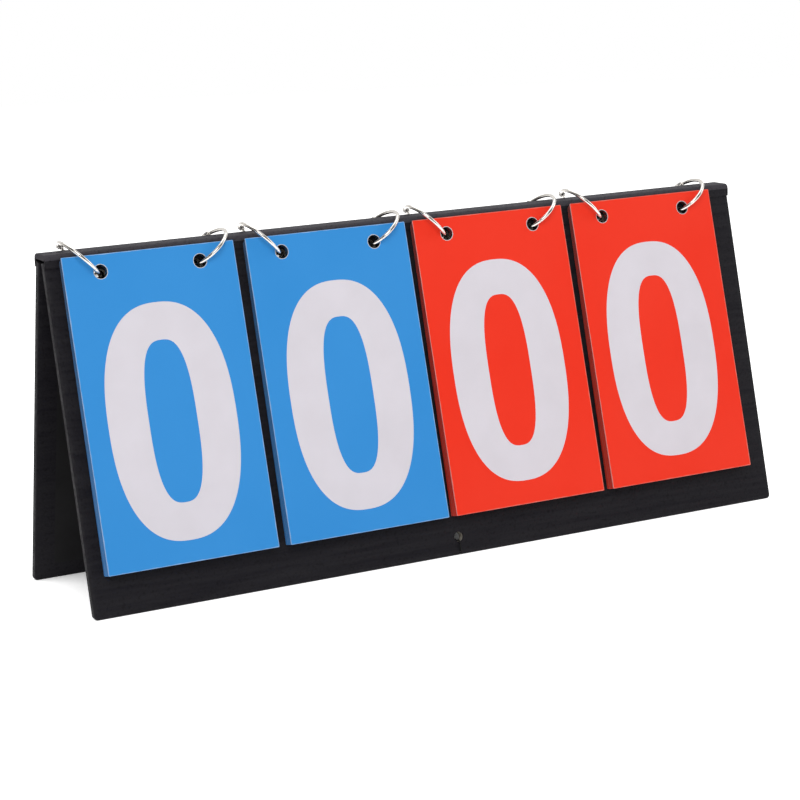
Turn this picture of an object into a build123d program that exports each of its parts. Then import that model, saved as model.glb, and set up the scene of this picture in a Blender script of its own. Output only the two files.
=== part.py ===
from build123d import *
import os
from math import cos, degrees, hypot, pi, radians, sin, tan

# Tabletop flip scoreboard: two covered greyboard leaves joined by a narrow spine stand as a tent, and four
# stacks of number cards hang on the front leaf from split wire rings that go through the cards and both leaves.
#
# Frame: +Z up, +X to the right of someone who reads the score, -Y towards them. The origin is on the table,
# midway along the board, under the middle of the spine. Millimetres and degrees throughout.

# Stand
BOARD_WIDTH = 380.0
LEAF_TILT = 13.0  # each leaf from the vertical, stand open
CREASE_HEIGHT = 160.4
CREASE_OFFSET = 5.5  # each crease line from the middle plane
LEAF_THICKNESS = 4.1
COVER_THICKNESS = 0.5
LINING_THICKNESS = 0.4
TURN_IN = 10.0  # cover folded over the inner face, at the ends and the top
LINING_BOTTOM = 156.0  # down the slant from the crease
LEAF_TOP_GAP = 0.25  # from the crease line to the leaf's top edge
FOOT_CORNER_RADIUS = 1.9
OUTER_EDGE_RADIUS = 1.0
INNER_EDGE_RADIUS = 0.6

# Spine
SPINE_WIDTH = 13.6
SPINE_BOTTOM = 161.0
SPINE_TOP = 163.5
SPINE_SHOULDER = 2.0
SPINE_END_RADIUS = 0.4
CREASE_BAND = 0.4  # cover material that bends between the spine and a leaf
CREASE_LAP = 3.4  # how far the band runs down the leaf
CREASE_BEND = 0.6  # down the leaf, where the band comes off its face
CREASE_TUCK = 0.35  # the band's thickness where it comes from under the spine's edge
CREASE_ROOM = 0.25  # between the band's inner side and the crease line
SPINE_LINING_WIDTH = 10.6
SEAM_GAP = 0.05

# Cards
STACKS = ("a", "b", "c", "d")
STACK_PITCH = 90.9
STACKS_OFFSET = -3.4  # the row of stacks hangs left of the board's middle
STACK_SHIFTS = (-0.35, 0.5, -0.4, -0.1)  # each stack's own play on its rings
CARDS_PER_STACK = 10
CARD_WIDTH = 85.6
CARD_HEIGHT = 146.0
CARD_THICKNESS = 0.28
CARD_PITCH = 0.31
CARD_CORNER_RADIUS = 0.45
CARD_HOLE_RADIUS = 3.25
CARD_HOLE_SPACING = 49.5
CARD_HOLE_DEPTH = 8.1  # below the card's top edge
STACK_GAP = 0.5  # from the leaf to the rearmost card
CARD_FAN = 0.13  # each card leans out this much more than the one behind
FRONT_CARD_TOP = -0.9  # down the slant from the crease
STACK_STAGGER = 1.72  # how much lower the top edge of the rearmost card is, to clear the spine

# A card turned over to the back leans on the spine's rear edge and rests its foot on the back leaf
FLIPPED_LEAN_IN = 0.62
FLIPPED_HOLE = (8.60, 154.77)

# Rings
RING_RADIUS = 12.2
WIRE_RADIUS = 0.9
RING_LEANS = {"left": 45.0, "right": 51.0}
RING_PIVOT_HEIGHT = 152.8
RING_CENTRE_RISE = 9.2  # from the pivot line to the ring's centre, in the ring's plane
RING_FORWARD = 1.2
LATCH_ANGLE = 112.0  # round the ring from its top, positive towards the front
HINGE_ANGLES = {"left": -47.0, "right": -55.0}  # the knuckle stands just behind the spine's top
LOW_HINGE_ANGLE = -68.0  # on the rings that slid round until the spine hides their knuckle
LOW_HINGES = ("b_right", "c_right")
LUG_RADIUS = 1.7
LUG_INNER = 0.38
LUG_OUTER = 1.05
TONGUE_HALF = 0.33
TONGUE_RADIUS = 1.6
KNUCKLE_CLEAR = 1.85
PIN_RADIUS = 0.6
PIN_BORE = 0.65
LUG_BORE = 0.62
PIN_HEAD_RADIUS = 0.95
PIN_HEAD = 0.2
LATCH_GAP = 0.1
NIB_RADIUS = 0.45
NIB_LENGTH = 0.8
SOCKET_RADIUS = 0.58
SOCKET_DEPTH = 1.0

# Ring holes through the leaves: down the slant from the crease, and nearer the stack's middle than the card's
# hole, so that the ring can lean and the leaves can fold
LEAF_HOLE_RADIUS = 3.6
LEAF_HOLES = {"front": (9.15, 0.95), "back": (8.66, 0.51)}

# Stay cord
CORD_RADIUS = 0.4
CORD_SIDESTEP = 1.5  # each leaf's hole, to its own right, so that the knots pass each other when the leaves fold
CORD_HOLE_RADIUS = 2.4
CORD_HOLE_RISE = 9.0  # up the slant from the foot
CORD_DROP = 1.8  # the pulled cord lies near the lower side of its hole
CORD_CLEAR = 0.15
CORD_KNOT_RADIUS = 1.2
CORD_SPAN_GAP = 0.1
CORD_UNDER_HEIGHT = 0.75
CORD_BENDS = (0.6, 0.7, 0.7)
NOTCH_WIDTH = 1.4
NOTCH_HEIGHT = 1.6

TILT = radians(LEAF_TILT)
FOOT_DISTANCE = CREASE_HEIGHT / cos(TILT)
REACH = 60.0  # longer than anything it cuts across
STACK_CENTRES = [
    STACKS_OFFSET + (index - (len(STACKS) - 1) / 2) * STACK_PITCH + shift for index, shift in enumerate(STACK_SHIFTS)
]
SIDES = {"left": -1, "right": 1}


def leaf_place(leaf):
    """The leaf's own frame: outer face on Y = 0, thickness towards +Y, and -Z down the slant."""
    front = Pos(0, -CREASE_OFFSET, CREASE_HEIGHT) * Rot(-LEAF_TILT, 0, 0)
    return front if leaf == "front" else Rot(0, 0, 180) * front


def leaf_point(down, out):
    """Y and Z of a point on the front leaf, down the slant and out from its outer face."""
    return (
        -(CREASE_OFFSET + down * sin(TILT) + out * cos(TILT)),
        CREASE_HEIGHT - down * cos(TILT) + out * sin(TILT),
    )


# ---------------------------------------------------------------- leaves


def leaf_block(inset, outer_skin, inner_skin):
    """The slanted leaf in its own frame, cut off level at the foot, with rounded foot corners."""
    depth = LEAF_THICKNESS - outer_skin - inner_skin
    top = LEAF_TOP_GAP + inset
    slab = Pos(0, outer_skin + depth / 2, -top - FOOT_DISTANCE / 2 - REACH / 2) * Box(
        BOARD_WIDTH - 2 * inset, depth, FOOT_DISTANCE + REACH
    )
    height = FOOT_DISTANCE + REACH
    outline = Plane.XZ * Pos(0, inset + height / 2) * RectangleRounded(
        BOARD_WIDTH - 2 * inset, height, FOOT_CORNER_RADIUS - inset
    )
    upright = leaf_place("front").inverse() * extrude(outline, amount=REACH, both=True)
    return slab & upright


def leaf_cutters(leaf):
    """Ring holes, cord hole and cord notch, in the leaf's own frame."""
    down, towards_middle = LEAF_HOLES[leaf]
    facing = 1 if leaf == "front" else -1
    drill = Rot(90, 0, 0) * Cylinder(LEAF_HOLE_RADIUS, REACH)
    cutters = [
        Pos(facing * centre + side * (CARD_HOLE_SPACING / 2 - towards_middle), 0, -down) * drill
        for centre in STACK_CENTRES
        for side in SIDES.values()
    ]
    cutters.append(
        Pos(CORD_SIDESTEP, 0, -(FOOT_DISTANCE - CORD_HOLE_RISE)) * Rot(90, 0, 0) * Cylinder(CORD_HOLE_RADIUS, REACH)
    )
    foot = leaf_point(FOOT_DISTANCE, 0)[0]
    notch = Pos(CORD_SIDESTEP, foot, NOTCH_HEIGHT / 2) * Box(NOTCH_WIDTH, REACH / 2, NOTCH_HEIGHT)
    cutters.append(leaf_place("front").inverse() * notch)
    return cutters


def lining_window():
    """The part of the leaf's inner face that the turned-in cover leaves open."""
    height = LINING_BOTTOM - TURN_IN
    inner_face = LEAF_THICKNESS - LINING_THICKNESS / 2
    return Pos(0, inner_face, -TURN_IN - height / 2) * Box(
        BOARD_WIDTH - 2 * TURN_IN, LINING_THICKNESS, height
    )


def leaf_cover(leaf):
    """Covering cloth round the whole leaf, turned in over the edges of its inner face."""
    block = leaf_block(0, 0, 0)
    block = fillet(block.faces().sort_by(Axis.Y)[0].edges(), OUTER_EDGE_RADIUS)
    block = fillet(block.faces().sort_by(Axis.Y)[-1].edges(), INNER_EDGE_RADIUS)
    pocket = leaf_block(COVER_THICKNESS, COVER_THICKNESS, LINING_THICKNESS)
    return leaf_place(leaf) * (block - pocket - lining_window() - leaf_cutters(leaf))


def leaf_board(leaf):
    """Greyboard core."""
    return leaf_place(leaf) * (leaf_block(COVER_THICKNESS, COVER_THICKNESS, LINING_THICKNESS) - leaf_cutters(leaf))


def leaf_lining(leaf):
    """Paper pasted over the inner face, inside the turned-in cover."""
    return leaf_place(leaf) * (lining_window() - leaf_cutters(leaf))


# ---------------------------------------------------------------- spine


def spine_block(inset, bottom, shoulder):
    """A bar along the top of the stand with rounded shoulders."""
    top = SPINE_TOP - inset
    bar = Pos(0, 0, (top + bottom) / 2) * Box(BOARD_WIDTH - 2 * inset, SPINE_WIDTH - 2 * inset, top - bottom)
    return fillet(bar.edges().filter_by(Axis.X).group_by(Axis.Z)[-1], shoulder)


def spine_cover():
    """Covering cloth over the top and sides of the spine board."""
    outer = spine_block(0, SPINE_BOTTOM, SPINE_SHOULDER)
    outer = chamfer(outer.faces().filter_by(Axis.Z).sort_by(Axis.Z)[-1].edges().filter_by(Axis.Y), SPINE_END_RADIUS)
    return outer - spine_block(COVER_THICKNESS, SPINE_BOTTOM, SPINE_SHOULDER - COVER_THICKNESS)


def spine_board():
    """Greyboard strip between the two creases."""
    return spine_block(COVER_THICKNESS, SPINE_BOTTOM, SPINE_SHOULDER - COVER_THICKNESS)


def spine_lining():
    """Paper strip under the spine board."""
    return Pos(0, 0, SPINE_BOTTOM - LINING_THICKNESS / 2) * Box(
        BOARD_WIDTH - 4 * COVER_THICKNESS, SPINE_LINING_WIDTH, LINING_THICKNESS
    )


def crease(leaf):
    """The band of cover that tucks in under the spine's edge and laps the top of a leaf, where the leaf hinges."""
    top = SPINE_BOTTOM - SEAM_GAP
    section = Plane.YZ * make_face(
        Polyline(
            (-SPINE_WIDTH / 2, top),
            (-CREASE_OFFSET - CREASE_ROOM, top),
            leaf_point(CREASE_BEND, SEAM_GAP),
            leaf_point(CREASE_LAP, SEAM_GAP),
            leaf_point(CREASE_LAP, SEAM_GAP + CREASE_BAND),
            leaf_point(CREASE_BEND, SEAM_GAP + CREASE_BAND),
            (-SPINE_WIDTH / 2, top - CREASE_TUCK),
            close=True,
        )
    )
    band = extrude(section, amount=BOARD_WIDTH / 2, both=True)
    return band if leaf == "front" else Rot(0, 0, 180) * band


# ---------------------------------------------------------------- cards


def card_blank(number):
    """A card: printed face towards -Y, back on Y = 0, top edge on Z = 0.

    Number 0 is the front card. The others start lower, end flush with it at the foot, and their holes reach up to its.
    """
    height = CARD_HEIGHT - card_drop(number)
    outline = Pos(0, -height / 2) * RectangleRounded(CARD_WIDTH, height, CARD_CORNER_RADIUS)
    for side in SIDES.values():
        hole = Pos(side * CARD_HOLE_SPACING / 2, -CARD_HOLE_DEPTH)
        outline -= hole * Circle(CARD_HOLE_RADIUS)
        if number:
            drawn = hole * Pos(0, card_drop(number) / 2) * Rot(0, 0, 90)
            outline -= drawn * SlotCenterToCenter(card_drop(number), 2 * CARD_HOLE_RADIUS)
    return extrude(Plane.XZ * outline, amount=CARD_THICKNESS)


def card_drop(number):
    """How much lower than the front card's top edge a card's is; number 0 is the front card."""
    return STACK_STAGGER * number / (CARDS_PER_STACK - 1)


def card_fan(number):
    """How far a card leans out from the leaf's slant; number 0 is the front card."""
    return CARD_FAN * (CARDS_PER_STACK - 1 - number)


def card_place(number, centre):
    """Where a card of the stack hangs: number 0 is the front card."""
    out = STACK_GAP + (CARDS_PER_STACK - 1 - number) * CARD_PITCH
    down = FRONT_CARD_TOP + card_drop(number)
    return leaf_place("front") * Pos(centre, -out, -down) * Rot(-card_fan(number), 0, 0)


def flip_hinge():
    """Y and Z of the line about which a front card turns onto the back leaf, and the angle it turns through."""
    hole = card_place(0, 0) * Pos(0, -CARD_THICKNESS / 2, -CARD_HOLE_DEPTH)
    start = (hole.position.Y, hole.position.Z)
    between = 2 * LEAF_TILT + card_fan(0) - FLIPPED_LEAN_IN
    step = (FLIPPED_HOLE[0] - start[0], FLIPPED_HOLE[1] - start[1])
    rise = 1 / (2 * tan(radians(between) / 2))
    return (
        (start[0] + FLIPPED_HOLE[0]) / 2 - rise * step[1],
        (start[1] + FLIPPED_HOLE[1]) / 2 + rise * step[0],
        360 - between,
    )


# ---------------------------------------------------------------- rings


def ring_plane(hole_x, side_name):
    """The ring's frame: X to the ring's top, Y towards the front, Z square to the ring."""
    side, lean = SIDES[side_name], radians(RING_LEANS[side_name])
    rise = (side * RING_CENTRE_RISE * sin(lean), RING_CENTRE_RISE * cos(lean))
    return Plane(
        origin=(hole_x + rise[0], -RING_FORWARD, RING_PIVOT_HEIGHT + rise[1]),
        x_dir=(side * sin(lean), 0, cos(lean)),
        z_dir=(cos(lean), 0, -side * sin(lean)),
    )


def ring_point(angle):
    """A point on the wire's middle line, in the ring's frame."""
    return RING_RADIUS * cos(radians(angle)), RING_RADIUS * sin(radians(angle))


def wire_arc(start, sweep_angle):
    """Bent wire from one angle of the ring, positive towards the front."""
    section = Plane.XZ * Pos(RING_RADIUS, 0) * Circle(WIRE_RADIUS)
    return Rot(0, 0, start) * revolve(section, Axis.Z, sweep_angle)


def hinge_angle(stack, side_name):
    """Where a ring's hinge pin is, round the ring from its top."""
    return LOW_HINGE_ANGLE if f"{stack}_{side_name}" in LOW_HINGES else HINGE_ANGLES[side_name]


def knuckle(hinge, radius, low, high):
    """A disc about the ring's hinge pin, between two heights across the ring's plane."""
    x, y = ring_point(hinge)
    return Pos(x, y, (low + high) / 2) * Cylinder(radius, high - low)


def along_wire(angle, radius, length):
    """A rod that leaves the wire's end at an angle, in the wire's own direction."""
    x, y = ring_point(angle)
    plane = Plane(origin=(x, y, 0), z_dir=(-sin(radians(angle)), cos(radians(angle)), 0))
    return plane.location * Cylinder(radius, length, align=(Align.CENTER, Align.CENTER, Align.MIN))


def ring_fixed_half(hinge):
    """The half that stays in the holes: two lugs at the back, the latch socket at the front."""
    half = wire_arc(LATCH_ANGLE, hinge + 360 - LATCH_ANGLE) + knuckle(hinge, LUG_RADIUS, -LUG_OUTER, LUG_OUTER)
    half -= knuckle(hinge, KNUCKLE_CLEAR, -LUG_INNER, LUG_INNER)
    half -= knuckle(hinge, LUG_BORE, -LUG_OUTER, LUG_OUTER)
    return half - along_wire(LATCH_ANGLE, SOCKET_RADIUS, SOCKET_DEPTH)


def ring_free_half(hinge):
    """The half that opens: a flat tongue on the pin at the back, the latch nib at the front."""
    end = LATCH_ANGLE - degrees(LATCH_GAP / RING_RADIUS)
    wire = wire_arc(hinge, end - hinge)
    tongue = (wire + knuckle(hinge, TONGUE_RADIUS, -LUG_OUTER, LUG_OUTER)) & knuckle(
        hinge, KNUCKLE_CLEAR, -TONGUE_HALF, TONGUE_HALF
    )
    half = (wire - knuckle(hinge, KNUCKLE_CLEAR, -LUG_OUTER, LUG_OUTER)) + tongue
    half -= knuckle(hinge, PIN_BORE, -LUG_OUTER, LUG_OUTER)
    return half + along_wire(end, NIB_RADIUS, NIB_LENGTH)


def ring_pin(hinge):
    """Rivet through the lugs and the tongue."""
    reach = LUG_OUTER + 0.5 * SEAM_GAP
    pin = knuckle(hinge, PIN_RADIUS, -reach, reach)
    pin += knuckle(hinge, PIN_HEAD_RADIUS, reach, reach + PIN_HEAD)
    return pin + knuckle(hinge, PIN_HEAD_RADIUS, -reach - PIN_HEAD, -reach)


# ---------------------------------------------------------------- stay cord


def tube(path):
    """Round cord along a path."""
    return sweep(Plane(origin=path @ 0, z_dir=path % 0) * Circle(CORD_RADIUS), path=path)


def cord_knot_point():
    """Middle of the front knot, on the leaf's inner face."""
    down = FOOT_DISTANCE - CORD_HOLE_RISE + CORD_DROP
    return leaf_point(down, -LEAF_THICKNESS - CORD_CLEAR - CORD_KNOT_RADIUS)


def cord_loop_path():
    """From the knot out through the hole, down the face, under the foot and back up to the knot."""
    down = FOOT_DISTANCE - CORD_HOLE_RISE + CORD_DROP
    face = CORD_CLEAR + CORD_RADIUS

    def above_table(out):
        return (CREASE_HEIGHT + out * sin(TILT) - CORD_UNDER_HEIGHT) / cos(TILT)

    stops = [
        leaf_point(down, -LEAF_THICKNESS - face),
        leaf_point(down, face),
        leaf_point(above_table(face), face),
        leaf_point(above_table(-LEAF_THICKNESS - face), -LEAF_THICKNESS - face),
        cord_knot_point(),
    ]
    return FilletPolyline([(CORD_SIDESTEP, y, z) for y, z in stops], radius=list(CORD_BENDS))


def cord_loop(leaf):
    """Knotted loop of cord round a leaf's foot."""
    y, z = cord_knot_point()
    loop = tube(cord_loop_path()) + Pos(CORD_SIDESTEP, y, z) * Sphere(CORD_KNOT_RADIUS)
    return loop if leaf == "front" else Rot(0, 0, 180) * loop


def stay_cord_length():
    """From knot to knot, without the knots."""
    y, _ = cord_knot_point()
    return 2 * (hypot(CORD_SIDESTEP, y) - CORD_KNOT_RADIUS - CORD_SPAN_GAP)


def stay_cord():
    """The pulled stretch between the two knots, which stops the leaves from spreading."""
    y, z = cord_knot_point()
    along = Plane(origin=(0, 0, z), z_dir=(CORD_SIDESTEP, y, 0))
    return along.location * Cylinder(CORD_RADIUS, stay_cord_length())


# ---------------------------------------------------------------- the whole


def make_parts():
    """Every sub-part by name."""
    parts = {
        "spine_board": spine_board(),
        "spine_cover": spine_cover(),
        "spine_lining": spine_lining(),
        "stay_cord": stay_cord(),
    }
    for leaf in LEAF_HOLES:
        parts[f"{leaf}_board"] = leaf_board(leaf)
        parts[f"{leaf}_cover"] = leaf_cover(leaf)
        parts[f"{leaf}_lining"] = leaf_lining(leaf)
        parts[f"{leaf}_crease"] = crease(leaf)
        parts[f"{leaf}_cord_loop"] = cord_loop(leaf)

    ring_halves = {
        hinge: {"fixed_half": ring_fixed_half(hinge), "free_half": ring_free_half(hinge), "pin": ring_pin(hinge)}
        for hinge in (*HINGE_ANGLES.values(), LOW_HINGE_ANGLE)
    }
    for stack, centre in zip(STACKS, STACK_CENTRES):
        cards = [card_place(number, centre) * card_blank(number) for number in range(CARDS_PER_STACK)]
        parts[f"stack_{stack}_front_card"], parts[f"stack_{stack}_next_card"] = cards[:2]
        parts[f"stack_{stack}_rear_cards"] = Compound(children=cards[2:])
        for name, side in SIDES.items():
            place = ring_plane(centre + side * CARD_HOLE_SPACING / 2, name).location
            for piece, shape in ring_halves[hinge_angle(stack, name)].items():
                parts[f"ring_{stack}_{name}_{piece}"] = place * shape
    return parts


def report_joints():
    """Print the lines and angles that the joints turn about, and the cord's sizes."""
    y, z, angle = flip_hinge()
    print(f"flip hinge y {y:.3f} z {z:.3f}, {angle:.2f} degrees")
    for name, angle in (*HINGE_ANGLES.items(), ("right", LOW_HINGE_ANGLE)):
        plane = ring_plane(0, name)
        pin = (plane.location * Pos(*ring_point(angle), 0)).position
        print(f"{name} ring pin at {angle}, from the card's hole at x 0: {pin}, axis {plane.z_dir}")
    path = cord_loop_path()
    print(f"cord loop {path.length:.1f} long, bends {CORD_BENDS}, volume {tube(path).volume:.2f}")
    print(f"  section times length {pi * CORD_RADIUS**2 * path.length:.2f}")
    print(f"stay cord {stay_cord_length():.1f} long")


os.makedirs("parts", exist_ok=True)
for node, shape in make_parts().items():
    export_step(shape, f"parts/{node}.step")
report_joints()
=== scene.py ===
"""Looks of the tabletop flip scoreboard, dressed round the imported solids.

Metres throughout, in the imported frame: X along the board, -Y towards the reader, Z up from the table.
A leaf's own directions are "down" its slant from the crease line and "out" from its outer face.
"""

import logging
from dataclasses import dataclass, field
from enum import Enum
from math import cos, pi, radians, sin

import bpy
import numpy as np
from mathutils import Matrix, Vector


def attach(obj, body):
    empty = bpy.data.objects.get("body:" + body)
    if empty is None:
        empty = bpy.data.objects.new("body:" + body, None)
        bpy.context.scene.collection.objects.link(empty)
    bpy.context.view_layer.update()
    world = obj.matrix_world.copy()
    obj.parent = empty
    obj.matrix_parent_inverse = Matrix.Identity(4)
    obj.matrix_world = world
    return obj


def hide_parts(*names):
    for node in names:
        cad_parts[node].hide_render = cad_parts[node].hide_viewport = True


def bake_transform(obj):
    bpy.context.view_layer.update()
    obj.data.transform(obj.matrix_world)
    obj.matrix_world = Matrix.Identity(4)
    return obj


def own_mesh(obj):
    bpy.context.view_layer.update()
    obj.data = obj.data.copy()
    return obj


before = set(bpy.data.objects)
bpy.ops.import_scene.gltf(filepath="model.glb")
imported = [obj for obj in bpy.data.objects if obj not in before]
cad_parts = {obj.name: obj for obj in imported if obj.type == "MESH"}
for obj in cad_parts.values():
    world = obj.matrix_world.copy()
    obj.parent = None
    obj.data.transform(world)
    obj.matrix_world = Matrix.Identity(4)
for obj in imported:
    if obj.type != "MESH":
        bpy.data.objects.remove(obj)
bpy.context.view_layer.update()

MM = 0.001
TURN = 2 * pi
log = logging.getLogger("scoreboard")

Grid = np.ndarray
Colour = tuple[float, float, float]
Socket = bpy.types.NodeSocket


class Leaf(Enum):
    """The two leaves, by which side of the spine they stand on."""

    FRONT = -1
    BACK = 1


class Side(Enum):
    """The two rings of a stack."""

    LEFT = -1
    RIGHT = 1


class Team(Enum):
    """The two card colours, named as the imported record's slots."""

    BLUE = "card_blue"
    RED = "card_red"


# ---------------------------------------------------------------- meshes


def grid_faces(rows: int, columns: int, wrap_rows: bool = False, wrap_columns: bool = False) -> Grid:
    """Quads of a grid of points numbered row by row.

    Args:
        rows: how many rows of points there are.
        columns: how many points a row has.
        wrap_rows: whether the last row joins the first.
        wrap_columns: whether a row's last point joins its first.

    Returns:
        An array of four point numbers per quad.
    """
    r = np.arange(rows if wrap_rows else rows - 1)[:, None]
    c = np.arange(columns if wrap_columns else columns - 1)[None, :]
    r2, c2 = (r + 1) % rows, (c + 1) % columns
    return np.stack([r * columns + c, r * columns + c2, r2 * columns + c2, r2 * columns + c], -1).reshape(-1, 4)


@dataclass
class Shell:
    """A mesh in the making: points, faces and a UV pair for every point."""

    points: Grid
    faces: list[list[int]]
    uv: Grid | None = None

    def joined(self, other: "Shell") -> "Shell":
        """Both shells in one, the other's after this one's.

        Args:
            other: the shell to add.

        Returns:
            One shell with the points and faces of both.
        """
        start = len(self.points)
        faces = self.faces + [[start + i for i in face] for face in other.faces]
        uv = None if self.uv is None or other.uv is None else np.vstack([self.uv, other.uv])
        return Shell(np.vstack([self.points, other.points]), faces, uv)

    def turned_out(self) -> "Shell":
        """The same shell with its faces pointing outwards.

        Each face is a fan of triangles a, b, c, and the sum of a . (b x c) has the sign of the volume.

        Returns:
            This shell, or one with every face reversed.
        """
        corners = np.concatenate(self.faces)
        sizes = np.fromiter(map(len, self.faces), int)
        fans = sizes - 2
        root = np.repeat(np.cumsum(sizes) - sizes, fans)
        step = np.arange(len(root)) - np.repeat(np.cumsum(fans) - fans, fans)
        a, b, c = self.points[corners[np.stack([root, root + step + 1, root + step + 2])]]
        volume = float((a * np.cross(b, c)).sum())
        return self if volume > 0 else Shell(self.points, [face[::-1] for face in self.faces], self.uv)

    def piece(self, name: str, material: bpy.types.Material, smooth: bool = True) -> bpy.types.Object:
        """Makes the Blender object.

        Args:
            name: the piece's name.
            material: its finish.
            smooth: whether its faces shade as one smooth surface.

        Returns:
            The new object, at the origin.
        """
        mesh = bpy.data.meshes.new(name)
        mesh.from_pydata(self.points.tolist(), [], self.faces)
        if self.uv is not None:
            corners = np.zeros(len(mesh.loops), np.int32)
            mesh.loops.foreach_get("vertex_index", corners)
            mesh.uv_layers.new(name="UVMap").data.foreach_set("uv", self.uv[corners].astype(np.float32).ravel())
        mesh.polygons.foreach_set("use_smooth", np.full(len(mesh.polygons), smooth))
        mesh.materials.append(material)
        mesh.update()
        made = bpy.data.objects.new(name, mesh)
        bpy.context.scene.collection.objects.link(made)
        return made


def signed_power(value: Grid, power: float) -> Grid:
    """The value's size raised to a power, with the value's sign kept."""
    return np.sign(value) * np.abs(value) ** power


def oval(half_width: float, half_height: float, squareness: float, count: int) -> Grid:
    """A superellipse: its two coordinates are the half sizes times cosine and sine to the power 2 / squareness.

    Args:
        half_width: half size along the first axis.
        half_height: half size along the second axis.
        squareness: 2 gives an ellipse, and larger numbers squarer corners.
        count: how many points it has.

    Returns:
        The outline's points, anticlockwise, one pair a row.
    """
    turn = np.linspace(0, TURN, count, endpoint=False)
    power = 2 / squareness
    return np.stack(
        [half_width * signed_power(np.cos(turn), power), half_height * signed_power(np.sin(turn), power)], -1
    )


def rounded_rectangle(half_width: float, height: float, corner: float, inset: float, count: int = 8) -> Grid:
    """A rectangle that hangs from the middle of its top edge, each corner a quarter of a circle.

    Args:
        half_width: half its width.
        height: its height before the inset.
        corner: the corners' radius.
        inset: how far its top and bottom are drawn in.
        count: how many points a corner has.

    Returns:
        The outline's points, as across and down.
    """
    quarter = np.linspace(0, pi / 2, count)
    turn = quarter[None, :] + np.arange(4)[:, None] * pi / 2
    across = np.array([1, -1, -1, 1])[:, None] * (half_width - corner) + corner * np.cos(turn)
    down = np.array([1, 1, -1, -1])[:, None] * (height / 2 - inset - corner) + corner * np.sin(turn)
    return np.stack([across, height / 2 + down], -1).reshape(-1, 2)


def evenly_spaced(outline: Grid, count: int) -> Grid:
    """A closed outline's points, measured out again at equal steps round it.

    Args:
        outline: the outline's points, two numbers each.
        count: how many points to make.

    Returns:
        The new points, from the outline's first one on.
    """
    closed = np.vstack([outline, outline[:1]])
    reach = np.concatenate([[0], np.cumsum(np.linalg.norm(np.diff(closed, axis=0), axis=1))])
    steps = np.linspace(0, reach[-1], count, endpoint=False)
    return np.stack([np.interp(steps, reach, closed[:, axis]) for axis in (0, 1)], -1)


def swept(
    centres: Grid,
    first: Grid,
    second: Grid,
    reach: Grid,
    count: int = 28,
    closed: bool = False,
    stretch: float = 1.0,
) -> Shell:
    """A tube: round each centre, a ring of points at centre + reach * (cos * first + sin * second).

    Args:
        centres: the stations' centres, one a row.
        first: unit vectors across the path, one a row.
        second: unit vectors across the path, square to the first.
        reach: the radius at each station, or at each station and each point round it.
        count: how many points a ring has.
        closed: whether the last station joins the first; otherwise each end is closed by a fan.
        stretch: how many times the U coordinate runs along the tube.

    Returns:
        The closed shell, with U along the tube and V round it.
    """
    turn = np.linspace(0, TURN, count, endpoint=False)
    reach = np.broadcast_to(reach.reshape(len(centres), -1), (len(centres), count))
    round_it = np.cos(turn)[None, :, None] * first[:, None, :] + np.sin(turn)[None, :, None] * second[:, None, :]
    points = (centres[:, None, :] + reach[:, :, None] * round_it).reshape(-1, 3)
    along = np.repeat(np.linspace(0, stretch, len(centres)), count)
    uv = np.stack([along, np.tile(turn / TURN, len(centres))], -1)
    faces = grid_faces(len(centres), count, closed, True).tolist()
    if not closed:
        poles = len(points) + np.arange(2)
        points = np.vstack([points, centres[[0, -1]]])
        uv = np.vstack([uv, [[0, 0.5], [stretch, 0.5]]])
        last = (len(centres) - 1) * count
        faces += [[poles[0], (i + 1) % count, i] for i in range(count)]
        faces += [[poles[1], last + i, last + (i + 1) % count] for i in range(count)]
    return Shell(points, faces, uv).turned_out()


def pebble(
    centre: Grid, axes: Grid, half: Grid, plan: float, edge: float, count: int = 32, levels: int = 13
) -> Shell:
    """A rounded block: a superellipse in plan, drawn in towards its two poles by a superellipse in section.

    Args:
        centre: the block's middle.
        axes: three unit rows: the two plan directions and the pole direction.
        half: half sizes along the three axes.
        plan: squareness of the plan.
        edge: squareness of the section.
        count: points round the plan.
        levels: rings of points between the poles.

    Returns:
        The closed shell.
    """
    rise = np.linspace(-pi / 2, pi / 2, levels + 2)[1:-1]
    outline = oval(half[0], half[1], plan, count)
    draw = signed_power(np.cos(rise), 2 / edge)
    flat = draw[:, None, None] * outline[None]
    height = np.broadcast_to((half[2] * signed_power(np.sin(rise), 2 / edge))[:, None], flat.shape[:2])
    local = np.concatenate([flat, height[..., None]], -1).reshape(-1, 3)
    local = np.vstack([local, [[0, 0, -half[2]], [0, 0, half[2]]]])
    faces = grid_faces(len(rise), count, False, True).tolist()
    low, high, last = len(local) - 2, len(local) - 1, (len(rise) - 1) * count
    faces += [[low, (i + 1) % count, i] for i in range(count)]
    faces += [[high, last + i, last + (i + 1) % count] for i in range(count)]
    return Shell(centre + local @ axes, faces, np.zeros((len(local), 2))).turned_out()


# ---------------------------------------------------------------- node groups


@dataclass
class Effect:
    """A shader node group under construction, with named inputs and outputs."""

    name: str
    inputs: dict[str, float | None]
    outputs: tuple[str, ...]
    tree: bpy.types.NodeTree = field(init=False)

    def __post_init__(self) -> None:
        """Makes the group's sockets; an input with no number is a vector."""
        self.tree = bpy.data.node_groups.new(self.name, "ShaderNodeTree")
        for label, value in self.inputs.items():
            kind = "NodeSocketVector" if value is None else "NodeSocketFloat"
            socket = self.tree.interface.new_socket(label, in_out="INPUT", socket_type=kind)
            if value is not None:
                socket.default_value = value
        for label in self.outputs:
            self.tree.interface.new_socket(label, in_out="OUTPUT", socket_type="NodeSocketFloat")
        self.start = self.tree.nodes.new("NodeGroupInput")
        self.end = self.tree.nodes.new("NodeGroupOutput")

    def give(self, label: str, value: Socket) -> None:
        """Links a value to one of the group's outputs."""
        self.tree.links.new(value, self.end.inputs[label])


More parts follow.
